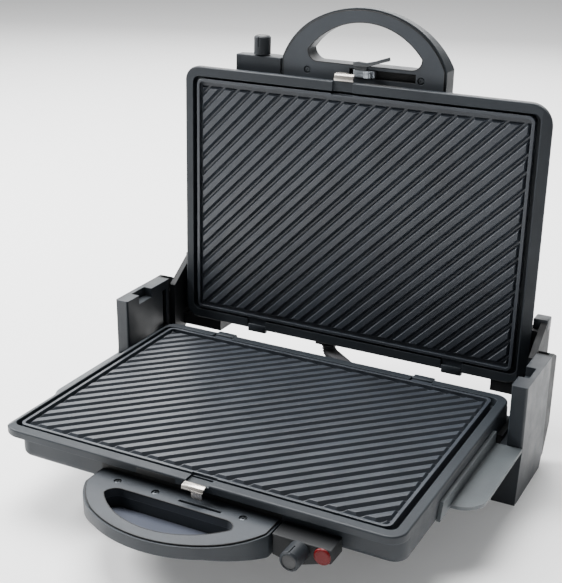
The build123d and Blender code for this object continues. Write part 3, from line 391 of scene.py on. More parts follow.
class Palette(Enum):
    """Every finish on the grill."""

    SHELL = MouldedPlastic(
        "charcoal_shell", linear(33, 37, 42), linear(39, 44, 49), linear(82, 89, 97),
        gloss_low=0.44, gloss_high=0.54, edge_round=0.0007, specular=0.3,
    )
    INSERT = MouldedPlastic(
        "charcoal_insert", linear(46, 50, 55), linear(53, 58, 64), linear(94, 101, 108),
        gloss_low=0.5, gloss_high=0.6, edge_round=0.0004, specular=0.4,
    )
    TOWER = MouldedPlastic(
        "tower_moulding", linear(35, 39, 44), linear(41, 46, 51), linear(78, 85, 92),
        gloss_low=0.4, gloss_high=0.5, edge_round=0.0006, specular=0.35,
    )
    BLACK = MouldedPlastic(
        "matt_black_moulding", linear(20, 21, 23), linear(28, 30, 32), linear(60, 64, 68),
        gloss_low=0.5, gloss_high=0.62, edge_round=0.0005, specular=0.25,
    )
    # Lighter copy of the charcoal moulding: paints the light on the side brackets' wings, which the
    # lid shades.
    BRACKET = MouldedPlastic(
        "bracket_moulding", linear(72, 77, 80), linear(84, 90, 93), linear(120, 126, 130),
        gloss_low=0.42, gloss_high=0.52, edge_round=0.0005,
    )
    # Lighter, bluer copy of the dark moulding: paints the reflection of the light on the glossy
    # floor of the finger opening.
    GRIP_FLOOR = MouldedPlastic(
        "polished_grip_floor", linear(66, 70, 80), linear(74, 78, 88), linear(96, 101, 112),
        gloss_low=0.3, gloss_high=0.36, tone_scale=12.0, edge_round=0.0003,
    )
    # Darker than the knob: paints the shade in the knob's sunk end.
    KNOB_CAP = MouldedPlastic(
        "dark_knob_cap", linear(16, 18, 20), linear(22, 24, 27), linear(50, 54, 58),
        gloss_low=0.4, gloss_high=0.5, edge_round=0.0003,
    )
    KNOB = MouldedPlastic(
        "knob_moulding", linear(28, 31, 35), linear(35, 39, 43), linear(74, 80, 87),
        gloss_low=0.46, gloss_high=0.56, edge_round=0.0006, specular=0.25,
    )
    LEVER = MouldedPlastic(
        "lever_moulding", linear(44, 47, 50), linear(58, 62, 66), linear(100, 106, 112),
        gloss_low=0.36, gloss_high=0.46, edge_round=0.0004,
    )
    PLATE = NonStickCoating(
        "non_stick_coating", linear(40, 44, 50), linear(49, 54, 61), linear(100, 107, 117),
        gloss_low=0.34, gloss_high=0.42, grain_scale=3000.0, grain_depth=0.00002,
        edge_round=0.0007, wear_and_sheen_share=0.25,
    )
    CLIP = DrawnMetal(
        "nickel_spring_steel", linear(150, 145, 139), linear(190, 185, 178), linear(226, 222, 216),
        gloss_low=0.24, gloss_high=0.36, metal=0.8, edge_round=0.0003,
    )
    SLIDER = DrawnMetal(
        "silver_slider", linear(120, 126, 132), linear(168, 174, 180), linear(214, 218, 222),
        gloss_low=0.3, gloss_high=0.42, metal=0.7, edge_round=0.0003,
    )
    ZINC = DrawnMetal(
        "zinc_plate", linear(140, 143, 146), linear(172, 175, 178), linear(200, 202, 204),
        gloss_low=0.32, gloss_high=0.46, edge_round=0.0003,
    )
    SCREW = DrawnMetal(
        "blackened_screw", linear(64, 67, 70), linear(96, 100, 104), linear(140, 144, 148),
        gloss_low=0.34, gloss_high=0.5, edge_round=0.0002,
    )
    SHEATH = HeatedSheath(
        "heater_sheath", linear(92, 88, 82), linear(128, 122, 112), linear(150, 145, 138),
        gloss_low=0.42, gloss_high=0.6, edge_round=0.0003,
    )
    REFLECTOR = DrawnMetal(
        "rolled_aluminium", linear(182, 184, 186), linear(208, 210, 212), linear(225, 226, 228),
        gloss_low=0.24, gloss_high=0.38, edge_round=0.0003,
    )
    CERAMIC = Finish(
        "glazed_ceramic", linear(214, 208, 196), linear(230, 226, 216), linear(238, 235, 228),
        gloss_low=0.2, gloss_high=0.3, edge_round=0.0004, coat=0.5,
    )
    RUBBER = Finish(
        "foot_rubber", linear(22, 22, 23), linear(32, 32, 33), linear(54, 54, 55),
        gloss_low=0.68, gloss_high=0.82, grain_scale=1500.0, grain_depth=0.00006, edge_round=0.0005,
        specular=0.15,
    )
    HOSE = Finish(
        "hose_rubber", linear(24, 25, 27), linear(34, 36, 38), linear(66, 69, 72),
        gloss_low=0.52, gloss_high=0.66, grain_scale=1800.0, grain_depth=0.00004, edge_round=0.0004,
        specular=0.15,
    )
    LAMP = LampLens(
        "red_lamp_lens", linear(84, 8, 12), linear(112, 16, 20), linear(140, 44, 46),
        gloss_low=0.3, gloss_high=0.42, edge_round=0.0005, specular=0.2,
    )
    # Near-black for painted shadow: the seams' shadow lines, the strip under the rim, the rim's
    # notch, the valleys' ends and the latch's slot.
    SHADOW = MouldedPlastic(
        "recess_black", linear(10, 11, 12), linear(16, 17, 18), linear(30, 32, 34),
        gloss_low=0.62, gloss_high=0.74, edge_round=0.0003,
    )


SLOT_FINISHES: dict[str, Palette] = {
    "shell_plastic": Palette.SHELL,
    "insert_plastic": Palette.INSERT,
    "tower_plastic": Palette.TOWER,
    "black_plastic": Palette.BLACK,
    "knob_plastic": Palette.KNOB,
    "latch_plastic": Palette.LEVER,
    "plate_coating": Palette.PLATE,
    "clip_steel": Palette.CLIP,
    "zinc_steel": Palette.ZINC,
    "screw_steel": Palette.SCREW,
    "element_steel": Palette.SHEATH,
    "bright_aluminium": Palette.REFLECTOR,
    "ceramic": Palette.CERAMIC,
    "foot_rubber": Palette.RUBBER,
    "hose_rubber": Palette.HOSE,
    "lamp_red": Palette.LAMP,
}

NODE_FINISHES: dict[str, Palette] = {
    # The side brackets take the lighter moulding that paints the light on their wings.
    "left_side_bracket": Palette.BRACKET,
    "right_side_bracket": Palette.BRACKET,
    # The base's control box gets the black moulding to paint the deep shade under the rim; the
    # lid's box keeps its slot's finish.
    "base_control_box": Palette.BLACK,
}


@dataclass(frozen=True)
class HalfFrame:
    """Where one half of the grill lies: x to its flush side, y to the hinge, z out of its plate."""

    name: str
    origin: Point
    x_dir: Point
    y_dir: Point
    z_dir: Point

    def turn(self) -> Matrix:
        """Gives the rotation from the half's own directions to the row's."""
        return Matrix((self.x_dir, self.y_dir, self.z_dir)).transposed()

    def place(self, x: float, y: float, z: float) -> Vector:
        """Gives a point of the half, in millimetres, as a point of the row, in metres."""
        return (Vector(self.origin) + self.turn() @ Vector((x, y, z))) * MM


class Half(Enum):
    """The two halves of the grill."""

    BASE = HalfFrame("base", (0, -24.452, 72.0), (1, 0, 0), (0, 1, 0), (0, 0, 1))
    LID = HalfFrame(
        "lid",
        (0, 144.325, 192.803),
        (-1, 0, 0),
        (0, -0.024432, -0.999702),
        (0, -0.999702, 0.024432),
    )


def new_object(name: str, mesh: bpy.types.Mesh) -> Piece:
    """Links a mesh to the scene as a new object at the origin."""
    piece = bpy.data.objects.new(name, mesh)
    bpy.context.scene.collection.objects.link(piece)
    return piece


def mesh_object(name: str, form: bmesh.types.BMesh) -> Piece:
    """Turns a finished bmesh into an object with outward faces.

    Args:
        name: The piece's name.
        form: The mesh data, which is freed.

    Returns:
        The new object.
    """
    bmesh.ops.remove_doubles(form, verts=form.verts, dist=MERGE_DISTANCE)
    bmesh.ops.recalc_face_normals(form, faces=form.faces)
    mesh = bpy.data.meshes.new(name)
    form.to_mesh(mesh)
    form.free()
    return new_object(name, mesh)


def settle(
    piece: Piece,
    body: str,
    finish: Palette,
    replaced: Sequence[str] = (),
) -> None:
    """Gives a piece its finish and body, and hides the CAD solids that it replaces.

    Args:
        piece: The finished piece.
        body: The CAD body that it moves with.
        finish: Its finish.
        replaced: CAD nodes that it replaces.
    """
    piece.data.materials.clear()
    piece.data.materials.append(finish.value.material())
    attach(piece, body)
    if replaced:
        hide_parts(*replaced)
    log.info("%s: %d faces on %s", piece.name, len(piece.data.polygons), body)


def close_rings(
    name: str, low: Sequence[Vector], high: Sequence[Vector], flat: bool = True
) -> Piece:
    """Closes two matching rings of points into a solid.

    Args:
        name: The piece's name.
        low: One ring's points in metres.
        high: The other's.
        flat: Whether each ring lies in a plane, so that one face fills it.

    Returns:
        The solid.
    """
    form = bmesh.new()
    lower, upper = ([form.verts.new(point) for point in ring] for ring in (low, high))
    ends = [form.faces.new(ring) for ring in (lower, upper)]
    if not flat:
        bmesh.ops.triangulate(form, faces=ends)
    for first, after in zip(range(len(lower)), [*range(1, len(lower)), 0]):
        form.faces.new((lower[first], lower[after], upper[after], upper[first]))
    return mesh_object(name, form)


def bake(piece: Piece) -> bpy.types.Mesh:
    """Gives the mesh that a piece's modifiers make, and takes the modifiers off."""
    graph = bpy.context.evaluated_depsgraph_get()
    mesh = bpy.data.meshes.new_from_object(piece.evaluated_get(graph))
    piece.modifiers.clear()
    return mesh


def soften(piece: Piece, width: float) -> None:
    """Rounds a piece's edges with a bevel, and applies its modifiers at once.

    Args:
        piece: The piece.
        width: The bevel's width in millimetres.
    """
    bevel = piece.modifiers.new("round", "BEVEL")
    bevel.width = width * MM
    bevel.segments = 2
    bevel.limit_method = "ANGLE"
    bevel.harden_normals = False
    piece.data = bake(piece)
    piece.data.name = piece.name


def face_outward(piece: Piece) -> None:
    """Merges a piece's doubles and turns its faces outward."""
    form = bmesh.new()
    form.from_mesh(piece.data)
    bmesh.ops.remove_doubles(form, verts=form.verts, dist=MERGE_DISTANCE)
    bmesh.ops.recalc_face_normals(form, faces=form.faces)
    form.to_mesh(piece.data)
    form.free()


def smooth_by_angle(piece: Piece, degrees: float = 35.0) -> None:
    """Shades a piece smooth except across edges sharper than an angle."""
    piece.data.shade_smooth()
    piece.data.set_sharp_from_angle(angle=math.radians(degrees))


class GeometryTree:
    """A Geometry Nodes tree with named inputs, applied to a carrier mesh."""

    def __init__(
        self,
        name: str,
        inputs: dict[str, str],
        write: Callable[[NodeWriter, dict[str, Socket]], Socket],
    ) -> None:
        """Builds the tree.

        Args:
            name: The tree's name.
            inputs: Socket types by input name, the carrier's geometry excepted.
            write: Writes the nodes between the inputs and the last geometry.
        """
        tree = bpy.data.node_groups.new(name, "GeometryNodeTree")
        tree.interface.new_socket("Geometry", in_out="INPUT", socket_type="NodeSocketGeometry")
        self.identifiers: dict[str, str] = {}
        for label, kind in {**inputs, "Finish": "NodeSocketMaterial"}.items():
            socket = tree.interface.new_socket(label, in_out="INPUT", socket_type=kind)
            self.identifiers[label] = socket.identifier
        tree.interface.new_socket("Geometry", in_out="OUTPUT", socket_type="NodeSocketGeometry")
        writer = NodeWriter(tree)
        entry = writer.add("NodeGroupInput")
        formed = write(writer, {socket.name: socket for socket in entry.outputs if socket.name})
        whole = writer.add("GeometryNodeRealizeInstances", {0: formed})
        coated = writer.add(
            "GeometryNodeSetMaterial", {0: whole.outputs[0], 2: entry.outputs["Finish"]}
        )
        writer.add("NodeGroupOutput", {0: coated.outputs[0]})
        self.tree = tree

    def grow(
        self,
        name: str,
        carrier: bpy.types.Mesh,
        values: dict[str, Any],
        finish: Palette,
    ) -> Piece:
        """Runs the tree on a carrier and keeps the result as a plain mesh.

        Args:
            name: The piece's name.
            carrier: Mesh whose points or path the tree works on.
            values: The named inputs' values.
            finish: The finish that the tree sets.

        Returns:
            The finished piece.
        """
        holder = new_object(f"{name}_carrier", carrier)
        modifier = holder.modifiers.new(self.tree.name, "NODES")
        modifier.node_group = self.tree
        for label, value in {**values, "Finish": finish.value.material()}.items():
            modifier[self.identifiers[label]] = value
        result = bake(holder)
        result.name = name
        bpy.data.objects.remove(holder)
        return new_object(name, result)


def path_mesh(name: str, points: Sequence[Vector], closed: bool) -> bpy.types.Mesh:
    """Makes a mesh of edges through points, as a carrier for a tree.

    Args:
        name: The mesh's name.
        points: The path's points in metres.
        closed: Whether the last point joins the first.

    Returns:
        The mesh.
    """
    count = len(points)
    edges = [(index, index + 1) for index in range(count - 1)]
    if closed:
        edges.append((count - 1, 0))
    mesh = bpy.data.meshes.new(name)
    mesh.from_pydata([tuple(point) for point in points], edges, [])
    return mesh


def write_scatter(writer: NodeWriter, sockets: dict[str, Socket]) -> Socket:
    """Puts one part on every point, turned to the half and spun at random about its own axis."""
    part = writer.add(
        "GeometryNodeObjectInfo", {"Object": sockets["Part"]}, transform_space="ORIGINAL"
    )
    facing = writer.add("FunctionNodeEulerToRotation", {0: sockets["Facing"]})
    placed = writer.add("GeometryNodeInstanceOnPoints", {
        "Points": sockets["Geometry"],
        "Instance": part.outputs["Geometry"],
        "Rotation": facing.outputs[0],
    })
    chance = writer.add("FunctionNodeRandomValue", {"Seed": sockets["Seed"]}, data_type="FLOAT")
    writer.tree.links.new(sockets["Spin"], chance.inputs[3])
    spin = writer.add("ShaderNodeCombineXYZ", {2: chance.outputs[1]})
    spun = writer.add("FunctionNodeEulerToRotation", {0: spin.outputs[0]})
    turned = writer.add("GeometryNodeRotateInstances", {
        "Instances": placed.outputs[0],
        "Rotation": spun.outputs[0],
        "Local Space": True,
    })
    return turned.outputs[0]


def write_bead(writer: NodeWriter, sockets: dict[str, Socket]) -> Socket:
    """Sweeps a round bead along the carrier's path."""
    path = writer.add("GeometryNodeMeshToCurve", {0: sockets["Geometry"]})
    ring = writer.add(
        "GeometryNodeCurvePrimitiveCircle",
        {"Resolution": BEAD_SIDES, "Radius": sockets["Radius"]},
    )
    bead = writer.add("GeometryNodeCurveToMesh", {0: path.outputs[0], 1: ring.outputs[0]})
    return bead.outputs[0]


def write_hose(writer: NodeWriter, sockets: dict[str, Socket]) -> Socket:
    """Sweeps a flat ribbed hose along the carrier's path."""
    path = writer.add("GeometryNodeMeshToCurve", {0: sockets["Geometry"]})
    even = writer.add("GeometryNodeResampleCurve", mode="LENGTH")
    writer.tree.links.new(path.outputs[0], even.inputs["Curve"])
    writer.tree.links.new(sockets["Step"], even.inputs["Length"])
    along = writer.add("GeometryNodeSplineParameter").outputs["Length"]
    turns = writer.math("DIVIDE", writer.math("ADD", along, sockets["Offset"]), sockets["Pitch"])
    wave = writer.math("COSINE", writer.math("MULTIPLY", turns, math.tau))
    crest = writer.remap(wave, HOSE_CREST_SPAN, FULL_SHARE)
    low = writer.math("SUBTRACT", 1.0, sockets["Groove"])
    size = writer.math("ADD", low, writer.math("MULTIPLY", crest, sockets["Groove"]))
    tilted = writer.add(
        "GeometryNodeSetCurveTilt", {"Curve": even.outputs[0], "Tilt": sockets["Tilt"]}
    )
    flat = writer.add("GeometryNodeCurvePrimitiveQuadrilateral", {
        0: sockets["Thickness"], 1: sockets["Width"],
    })
    rounded = writer.add("GeometryNodeFilletCurve", {
        "Curve": flat.outputs[0], "Radius": sockets["Corner"], "Count": HOSE_CORNER_STEPS,
    }, mode="POLY")
    swept = writer.add("GeometryNodeCurveToMesh", {
        "Curve": tilted.outputs[0],
        "Profile Curve": rounded.outputs[0],
        "Scale": size,
        "Fill Caps": True,
    })
    return swept.outputs[0]


SCATTER = GeometryTree(
    "scattered_parts",
    {
        "Part": "NodeSocketObject", "Facing": "NodeSocketVector",
        "Spin": "NodeSocketFloat", "Seed": "NodeSocketInt",
    },
    write_scatter,
)
BEAD = GeometryTree("bead_along_path", {"Radius": "NodeSocketFloat"}, write_bead)
HOSE = GeometryTree(
    "ribbed_hose",
    {label: "NodeSocketFloat" for label in (
        "Step", "Offset", "Pitch", "Groove", "Tilt", "Thickness", "Width", "Corner",
    )},
    write_hose,
)


@dataclass
class TurnedPart:
    """A turned part, such as a screw head or a foot, spun from its section about z."""

    name: str
    section: Sequence[Pair]
    steps: int = 32
    cross: float = 0.0
    cross_width: float = 0.0
    cross_depth: float = 0.0

    def build(self) -> Piece:
        """Spins the section, and sinks a cross recess into its top where one is asked for.

        Returns:
            The part at the origin, its axis along z.
        """
        form = bmesh.new()
        rings = []
        for radius, height in self.section:
            if radius < ON_AXIS:
                rings.append([form.verts.new((0, 0, height * MM))])
                continue
            rings.append([
                form.verts.new((
                    radius * MM * math.cos(math.tau * step / self.steps),
                    radius * MM * math.sin(math.tau * step / self.steps),
                    height * MM,
                ))
                for step in range(self.steps)
            ])
        for lower, upper in zip(rings, rings[1:]):
            for step in range(self.steps):
                after = (step + 1) % self.steps
                corners = [lower[step % len(lower)], lower[after % len(lower)],
                           upper[after % len(upper)], upper[step % len(upper)]]
                unique = list(dict.fromkeys(corners))
                if len(unique) > 2:
                    form.faces.new(unique)
        part = mesh_object(self.name, form)
        if self.cross:
            self.sink_cross(part)
        smooth_by_angle(part)
        return part

    def sink_cross(self, part: Piece) -> None:
        """Cuts the driver's cross into the top of a head."""
        top = max(height for _, height in self.section)
        form = bmesh.new()
        for long_x, long_y in ((self.cross, self.cross_width), (self.cross_width, self.cross)):
            block = bmesh.ops.create_cube(form, size=1.0)
            span = Vector((long_x, long_y, self.cross_depth * 2)) * MM
            bmesh.ops.scale(form, verts=block["verts"], vec=span)
            bmesh.ops.translate(form, verts=block["verts"], vec=(0, 0, top * MM))
        cutter = mesh_object(f"{self.name}_cutter", form)
        cut = part.modifiers.new("cross", "BOOLEAN")
        cut.operation = "DIFFERENCE"
        cut.solver = "EXACT"
        cut.use_self = True
        cut.object = cutter
        part.data = bake(part)
        bpy.data.objects.remove(cutter)


def arc_through(start: Pair, middle: Pair, end: Pair, steps: int) -> list[Pair]:
    """Samples the arc through three points.

    Args:
        start: First point.
        middle: A point on the way.
        end: Last point.
        steps: How many pieces the arc is cut into.

    Returns:
        The points, both ends included.
    """
    (ax, ay), (bx, by), (cx, cy) = start, middle, end
    doubled = 2 * (ax * (by - cy) + bx * (cy - ay) + cx * (ay - by))
    a_square, b_square, c_square = (x**2 + y**2 for x, y in (start, middle, end))
    centre = Vector((
        (a_square * (by - cy) + b_square * (cy - ay) + c_square * (ay - by)) / doubled,
        (a_square * (cx - bx) + b_square * (ax - cx) + c_square * (bx - ax)) / doubled,
    ))
    first, halfway, last = (
        math.atan2(y - centre.y, x - centre.x) for x, y in (start, middle, end)
    )
    to_middle = (halfway - first) % math.tau
    sweep = (last - first) % math.tau
    if to_middle > sweep:
        sweep -= math.tau
    radius = (Vector(start) - centre).length
    return [
        (
            centre.x + radius * math.cos(first + sweep * step / steps),
            centre.y + radius * math.sin(first + sweep * step / steps),
        )
        for step in range(steps + 1)
    ]


def tangent_arc(start: Pair, heading: Vector, end: Pair, steps: int) -> list[Pair]:
    """Samples the arc that leaves a point along a heading and ends at another.

    Args:
        start: First point.
        heading: Direction at the first point.
        end: Last point.
        steps: How many pieces the arc is cut into.

    Returns:
        The points, both ends included.
    """
    across = Vector((-heading.y, heading.x)).normalized()
    chord = Vector(end) - Vector(start)
    radius = chord.length_squared / (2 * chord.dot(across))
    centre = Vector(start) + across * radius
    toward = (Vector(start) + Vector(end)) / 2 - centre
    middle = centre + toward.normalized() * abs(radius)
    return arc_through(start, (middle.x, middle.y), end, steps)


@dataclass(frozen=True)
class Block:
    """A block: its spans in its half's own directions, and how wide its edges are rounded."""

    x: Pair
    y: Pair
    z: Pair
    edge: float


BLOCK_FACES = (
    (0, 1, 3, 2), (4, 6, 7, 5), (0, 4, 5, 1), (2, 3, 7, 6), (0, 2, 6, 4), (1, 5, 7, 3),
)
SUNK_SCREW = TurnedPart(
    "sunk_screw_head",
    ((0, -1.5), (2.8, -1.5), (2.8, -0.9), (2.5, -0.6), (1.8, -0.4), (0, -0.35)),
    cross=3.0, cross_width=0.8, cross_depth=0.9,
)
PAN_SCREW = TurnedPart(
    "pan_screw_head",
    ((0, 0.0), (3.2, 0.0), (3.2, 0.7), (2.9, 1.2), (2.1, 1.6), (0, 1.8)),
    cross=3.6, cross_width=0.8, cross_depth=1.0,
)
RUBBER_FOOT = TurnedPart(
    "rubber_foot",
    (
        (0, 0.0), (9.0, 0.0), (9.0, 5.0), (8.7, 5.7), (8.1, 6.0), (6.2, 6.0),
        (5.9, 5.5), (5.3, 5.5), (5.0, 6.0), (2.8, 6.0), (2.4, 4.4), (0, 4.4),
    ),
    steps=40,
)
# A thin dark disc that paints the shade at a valley's end.
POCKET_SHADOW_DISC = TurnedPart("drain_pocket", ((0, 0.0), (4.0, 0.0), (3.8, 0.06), (0, 0.08)))
KNOB_CAP = TurnedPart(
    "knob_cap", ((0, 0.0), (5.6, 0.0), (5.6, 0.25), (5.1, 0.45), (0, 0.5)), steps=40
)


@dataclass
class CookingHalf:
    """One half of the grill: what its handle, rim, plate and belly have beyond their solids."""

    half: Half
    handle_x: Pair = (-79.5, 82.5)
    handle_face: float = -15.0
    handle_crown: Pair = (48.0, 181.0)
    handle_reach: float = 193.0
    handle_shoulder: float = 144.0
    wall_front: float = 122.3
    root_sink: float = 0.6
    outline_steps: tuple[int, int] = (40, 24)
    grip_inner: Pair = (47.0, 142.4)
    grip_outer: Pair = (56.0, 153.0)
    grip_reach: float = 180.5
    grip_steps: tuple[int, int] = (10, 48)
    seam_radius: float = 0.48
    handle_seam_inset: float = 2.1
    handle_seam_sink: float = 0.35
    grip_seam_inset: float = -0.1
    grip_seam_sink: float = 0.25
    screw_points: tuple[Pair, ...] = ((-56.0, -134.0), (56.0, -134.0))
    extra_screw: Pair = (-21.0, -134.0)
    # A black band of painted shade under the rim, above the handle.
    band_x: Pair = (-79.0, 82.0)
    band_z: Pair = (-14.8, -6.7)
    band_thick: float = 0.6
    band_edge: float = 0.15
    belly_screw_x: tuple[float, float, float] = (-123.0, 7.5, 138.0)
    belly_screw_y: Pair = (-111.25, 116.45)
    belly_screw_z: float = -28.0
    foot_points: tuple[Pair, ...] = (
        (-106.0, -38.0), (-106.0, 78.0), (128.0, -38.0), (128.0, 78.0),
    )
    foot_seat: float = -66.0
    # A dark inlay of painted shade in the rim's notch.
    notch: Block = Block((-42.0, -7.0), (-128.8, -128.3), (-6.4, -2.0), 0.1)
    lug_xs: Pair = (-109.0, 97.0)
    lug_half_width: float = 10.0
    lug_y: Pair = (122.5, 130.8)
    lug_z: Pair = (-5.0, 0.3)
    lug_edge: float = 1.1
    rib_pitch: float = 15.5
    pocket_y: float = -112.9
    pocket_z: float = -3.98
    pocket_reach: float = 156.0
    pocket_squash: float = 0.46
    clip_x: Pair = (3.0, 22.0)
    clip_leg_x: Pair = (12.0, 21.4)
    clip_profile: tuple[Pair, ...] = (
        (-129.3, -1.0), (-131.4, -0.9), (-133.9, -1.5), (-135.0, -2.7), (-135.4, -4.4),
    )
    clip_leg_profile: tuple[Pair, ...] = (
        (-135.0, -2.7), (-135.4, -4.4), (-135.6, -8.0), (-134.6, -10.4),
    )
    clip_thick: float = 0.9
    clip_edge: float = 0.22
    clip_crease: float = 50.0
    slot_x: Pair = (-51.0, 13.6)
    slot_y: Pair = (-139.4, -131.4)
    slot_z: Pair = (-19.0, -15.0)
    # Thickness of the black sheets of painted shade inside the slot.
    slot_shadow_skin: float = 0.12
    slot_edge: float = 0.02
    cap_seat: Point = (107.0, -159.3, -22.0)
    grip_floor_near: Pair = (-146.0, -31.9)
    grip_floor_far: Pair = (-181.0, -23.3)
    grip_floor_gap: float = 0.3
    grip_floor_thick: float = 0.4

    @property
    def body(self) -> str:
        """Name of the CAD body that the half is."""
        return self.half.value.name

    def place(self, x: float, y: float, z: float) -> Vector:
        """Gives a point of the half as a point of the row, in metres."""
        return self.half.value.place(x, y, z)

    def outline(self, inset: float) -> list[Pair]:
        """Gives the handle's outline, inset from its edge, from one root round to the other."""
        left, right = self.handle_x[0] + inset, self.handle_x[1] - inset
        middle = (left + right) / 2
        reach = self.handle_crown[0] - inset / 2
        crown_y = -self.handle_crown[1] + inset
        root_y = -self.wall_front - self.root_sink
        tip_steps, flank_steps = self.outline_steps
        tip = arc_through(
            (middle - reach, crown_y),
            (middle, -self.handle_reach + inset),
            (middle + reach, crown_y),
            tip_steps,
        )
        leaving = Vector(tip[-1]) - Vector(tip[-2])
        flank = tangent_arc(tip[-1], leaving, (right, -self.handle_shoulder), flank_steps)
        mirrored = [(2 * middle - x, y) for x, y in reversed(flank)]
        return [(left, root_y), *mirrored, *tip[1:-1], *flank, (right, root_y)]

    def grip(self, inset: float) -> list[Pair]:
        """Gives the finger opening's outline, inset from its edge, as a closed ring."""
        inner_x, inner_y = self.grip_inner[0], -self.grip_inner[1] - inset
        outer_x, outer_y = self.grip_outer[0] - inset, -self.grip_outer[1]
        bulge = math.sqrt(0.5)
        corner = (inner_x + bulge * (outer_x - inner_x), outer_y + bulge * (inner_y - outer_y))
        far_y = -self.grip_reach + inset
        corner_steps, far_steps = self.grip_steps
        right = arc_through((inner_x, inner_y), corner, (outer_x, outer_y), corner_steps)
        far = arc_through((outer_x, outer_y), (0, far_y), (-outer_x, outer_y), far_steps)
        left = [(-x, y) for x, y in reversed(right)]
        return [*right, *far[1:-1], *left]

    def seam(self, name: str, ring: Iterable[Pair], height: float, closed: bool) -> None:
        """Lays a seam's shadow line along an outline, as a thin dark bead.

        Args:
            name: The piece's name without the half's.
            ring: The outline's points.
            height: Where along the half's z the bead's middle lies.
            closed: Whether the outline closes on itself.
        """
        title = f"{self.body}_{name}"
        path = path_mesh(title, [self.place(x, y, height) for x, y in ring], closed)
        piece = BEAD.grow(title, path, {"Radius": self.seam_radius * MM}, Palette.SHADOW)
        face_outward(piece)
        smooth_by_angle(piece, BEAD_CREASE)
        settle(piece, self.body, Palette.SHADOW)

    def lay_seams(self) -> None:
        """Lays the shadow lines round the handle's insert and its finger opening."""
        insert = self.outline(self.handle_seam_inset)
        opening = self.grip(self.grip_seam_inset)
        self.seam("handle_seam", insert, self.handle_face - self.handle_seam_sink, False)
        self.seam("grip_seam", opening, self.handle_face - self.grip_seam_sink, True)

    def facing(self, tilt: float = 0.0) -> Euler:
        """Gives the turn of a part whose axis is the half's z, tilted about the half's x."""
        return (self.half.value.turn() @ Matrix.Rotation(tilt, 3, "X")).to_euler()

    def scatter(
        self,
        name: str,
        part: Piece,
        points: Sequence[Point],
        settings: tuple[Euler, float, int],
        finish: Palette,
    ) -> Piece:
        """Puts one part on several points of the half.

        Args:
            name: The piece's name without the half's.
            part: The part, which is removed.
            points: Where it goes, in the half's own directions.
            settings: Its turn, the span of its random spin and the spin's seed.
            finish: Its finish.

        Returns:
            All of them as one piece.
        """
        facing, spin, seed = settings
        title = f"{self.body}_{name}"
        carrier = path_mesh(title, [self.place(*point) for point in points], False)
        piece = SCATTER.grow(title, carrier, {
            "Part": part, "Facing": facing, "Spin": spin, "Seed": seed,
        }, finish)
        smooth_by_angle(piece)
        bpy.data.objects.remove(part)
        return piece

    def drive_screws(self) -> None:
        """Drives the handle's and the belly's screws."""
        points = list(self.screw_points)
        if self.half is Half.BASE:
            points.append(self.extra_screw)
        heads = self.scatter(
            "handle_screw_heads", SUNK_SCREW.build(),
            [(x, y, self.handle_face) for x, y in points],
            (self.facing(), math.tau, SEED), Palette.SCREW,
        )
        settle(heads, self.body, Palette.SCREW, (f"{self.body}_handle_screws",))
        heads = self.scatter(
            "belly_screw_heads", PAN_SCREW.build(),
            [(x, y, self.belly_screw_z) for y in self.belly_screw_y for x in self.belly_screw_x],
            (self.facing(math.pi), math.tau, SEED + 1), Palette.SCREW,
        )
        settle(heads, self.body, Palette.SCREW, (f"{self.body}_cover_screws",))

    def fit_feet(self) -> None:
        """Fits the rubber feet, each with a ring groove and a sunk middle."""
        feet = self.scatter(
            "rubber_feet", RUBBER_FOOT.build(),
            [(x, y, self.foot_seat) for x, y in self.foot_points],
            (self.facing(math.pi), math.tau, SEED + 2), Palette.RUBBER,
        )
        settle(feet, self.body, Palette.RUBBER, (f"{self.body}_feet",))

    def slab(self, name: str, block: Block) -> Piece:
        """Makes a block, named without the half's name."""
        form = bmesh.new()
        corners = [
            form.verts.new(self.place(x, y, z))
            for z in block.z for y in block.y for x in block.x
        ]
        for face in BLOCK_FACES:
            form.faces.new([corners[index] for index in face])
        piece = mesh_object(f"{self.body}_{name}", form)
        soften(piece, block.edge)
        smooth_by_angle(piece)
        return piece

    def fit_shadow_strips(self) -> None:
        """Fits a black strip that paints the shade under the rim above the handle, and a dark inlay
        that paints the shade of the notch in the rim's edge.
        """
        band_y = (-self.wall_front - self.band_thick, -self.wall_front)
        band = Block(self.band_x, band_y, self.band_z, self.band_edge)
        for name, block in (("handle_band", band), ("rim_notch", self.notch)):
            settle(self.slab(name, block), self.body, Palette.SHADOW)

    def fit_lugs(self) -> None:
        """Fits the catches over the plate's two tabs, at the hinge side of the rim."""
        for number, middle in enumerate(self.lug_xs, start=1):
            span = (middle - self.lug_half_width, middle + self.lug_half_width)
            lug = Block(span, self.lug_y, self.lug_z, self.lug_edge)
            catch = self.slab(f"tab_catch_{number}", lug)
            settle(catch, self.body, Palette.SHELL)

    def paint_pocket_shadows(self) -> None:
        """Lays a thin dark disc at the front end of every valley between the ribs, painting the
        shade where the valley ends at the plate's lip.
        """
        part = POCKET_SHADOW_DISC.build()
        part.data.transform(Matrix.Diagonal((1, self.pocket_squash, 1, 1)))
        count = int(2 * self.pocket_reach / self.rib_pitch) + 2
        first = self.pocket_y - self.rib_pitch * count
        stations = (first + self.rib_pitch * number for number in range(4 * count))
        pockets = self.scatter(
            "drain_pockets", part,
            [(x, self.pocket_y, self.pocket_z) for x in stations if abs(x) < self.pocket_reach],
            (self.facing(), 0.0, SEED + 3), Palette.SHADOW,
        )
        settle(pockets, self.body, Palette.SHADOW)

    def cap_knob(self) -> None:
        """Sets a cap into the knob's sunk end, darkened to paint the shade in the hollow."""
        cap = self.scatter(
            "knob_cap", KNOB_CAP.build(), [self.cap_seat],
            (self.facing(math.pi / 2), 0.0, SEED), Palette.KNOB_CAP,
        )
        settle(cap, f"{self.body}_knob_body", Palette.KNOB_CAP)

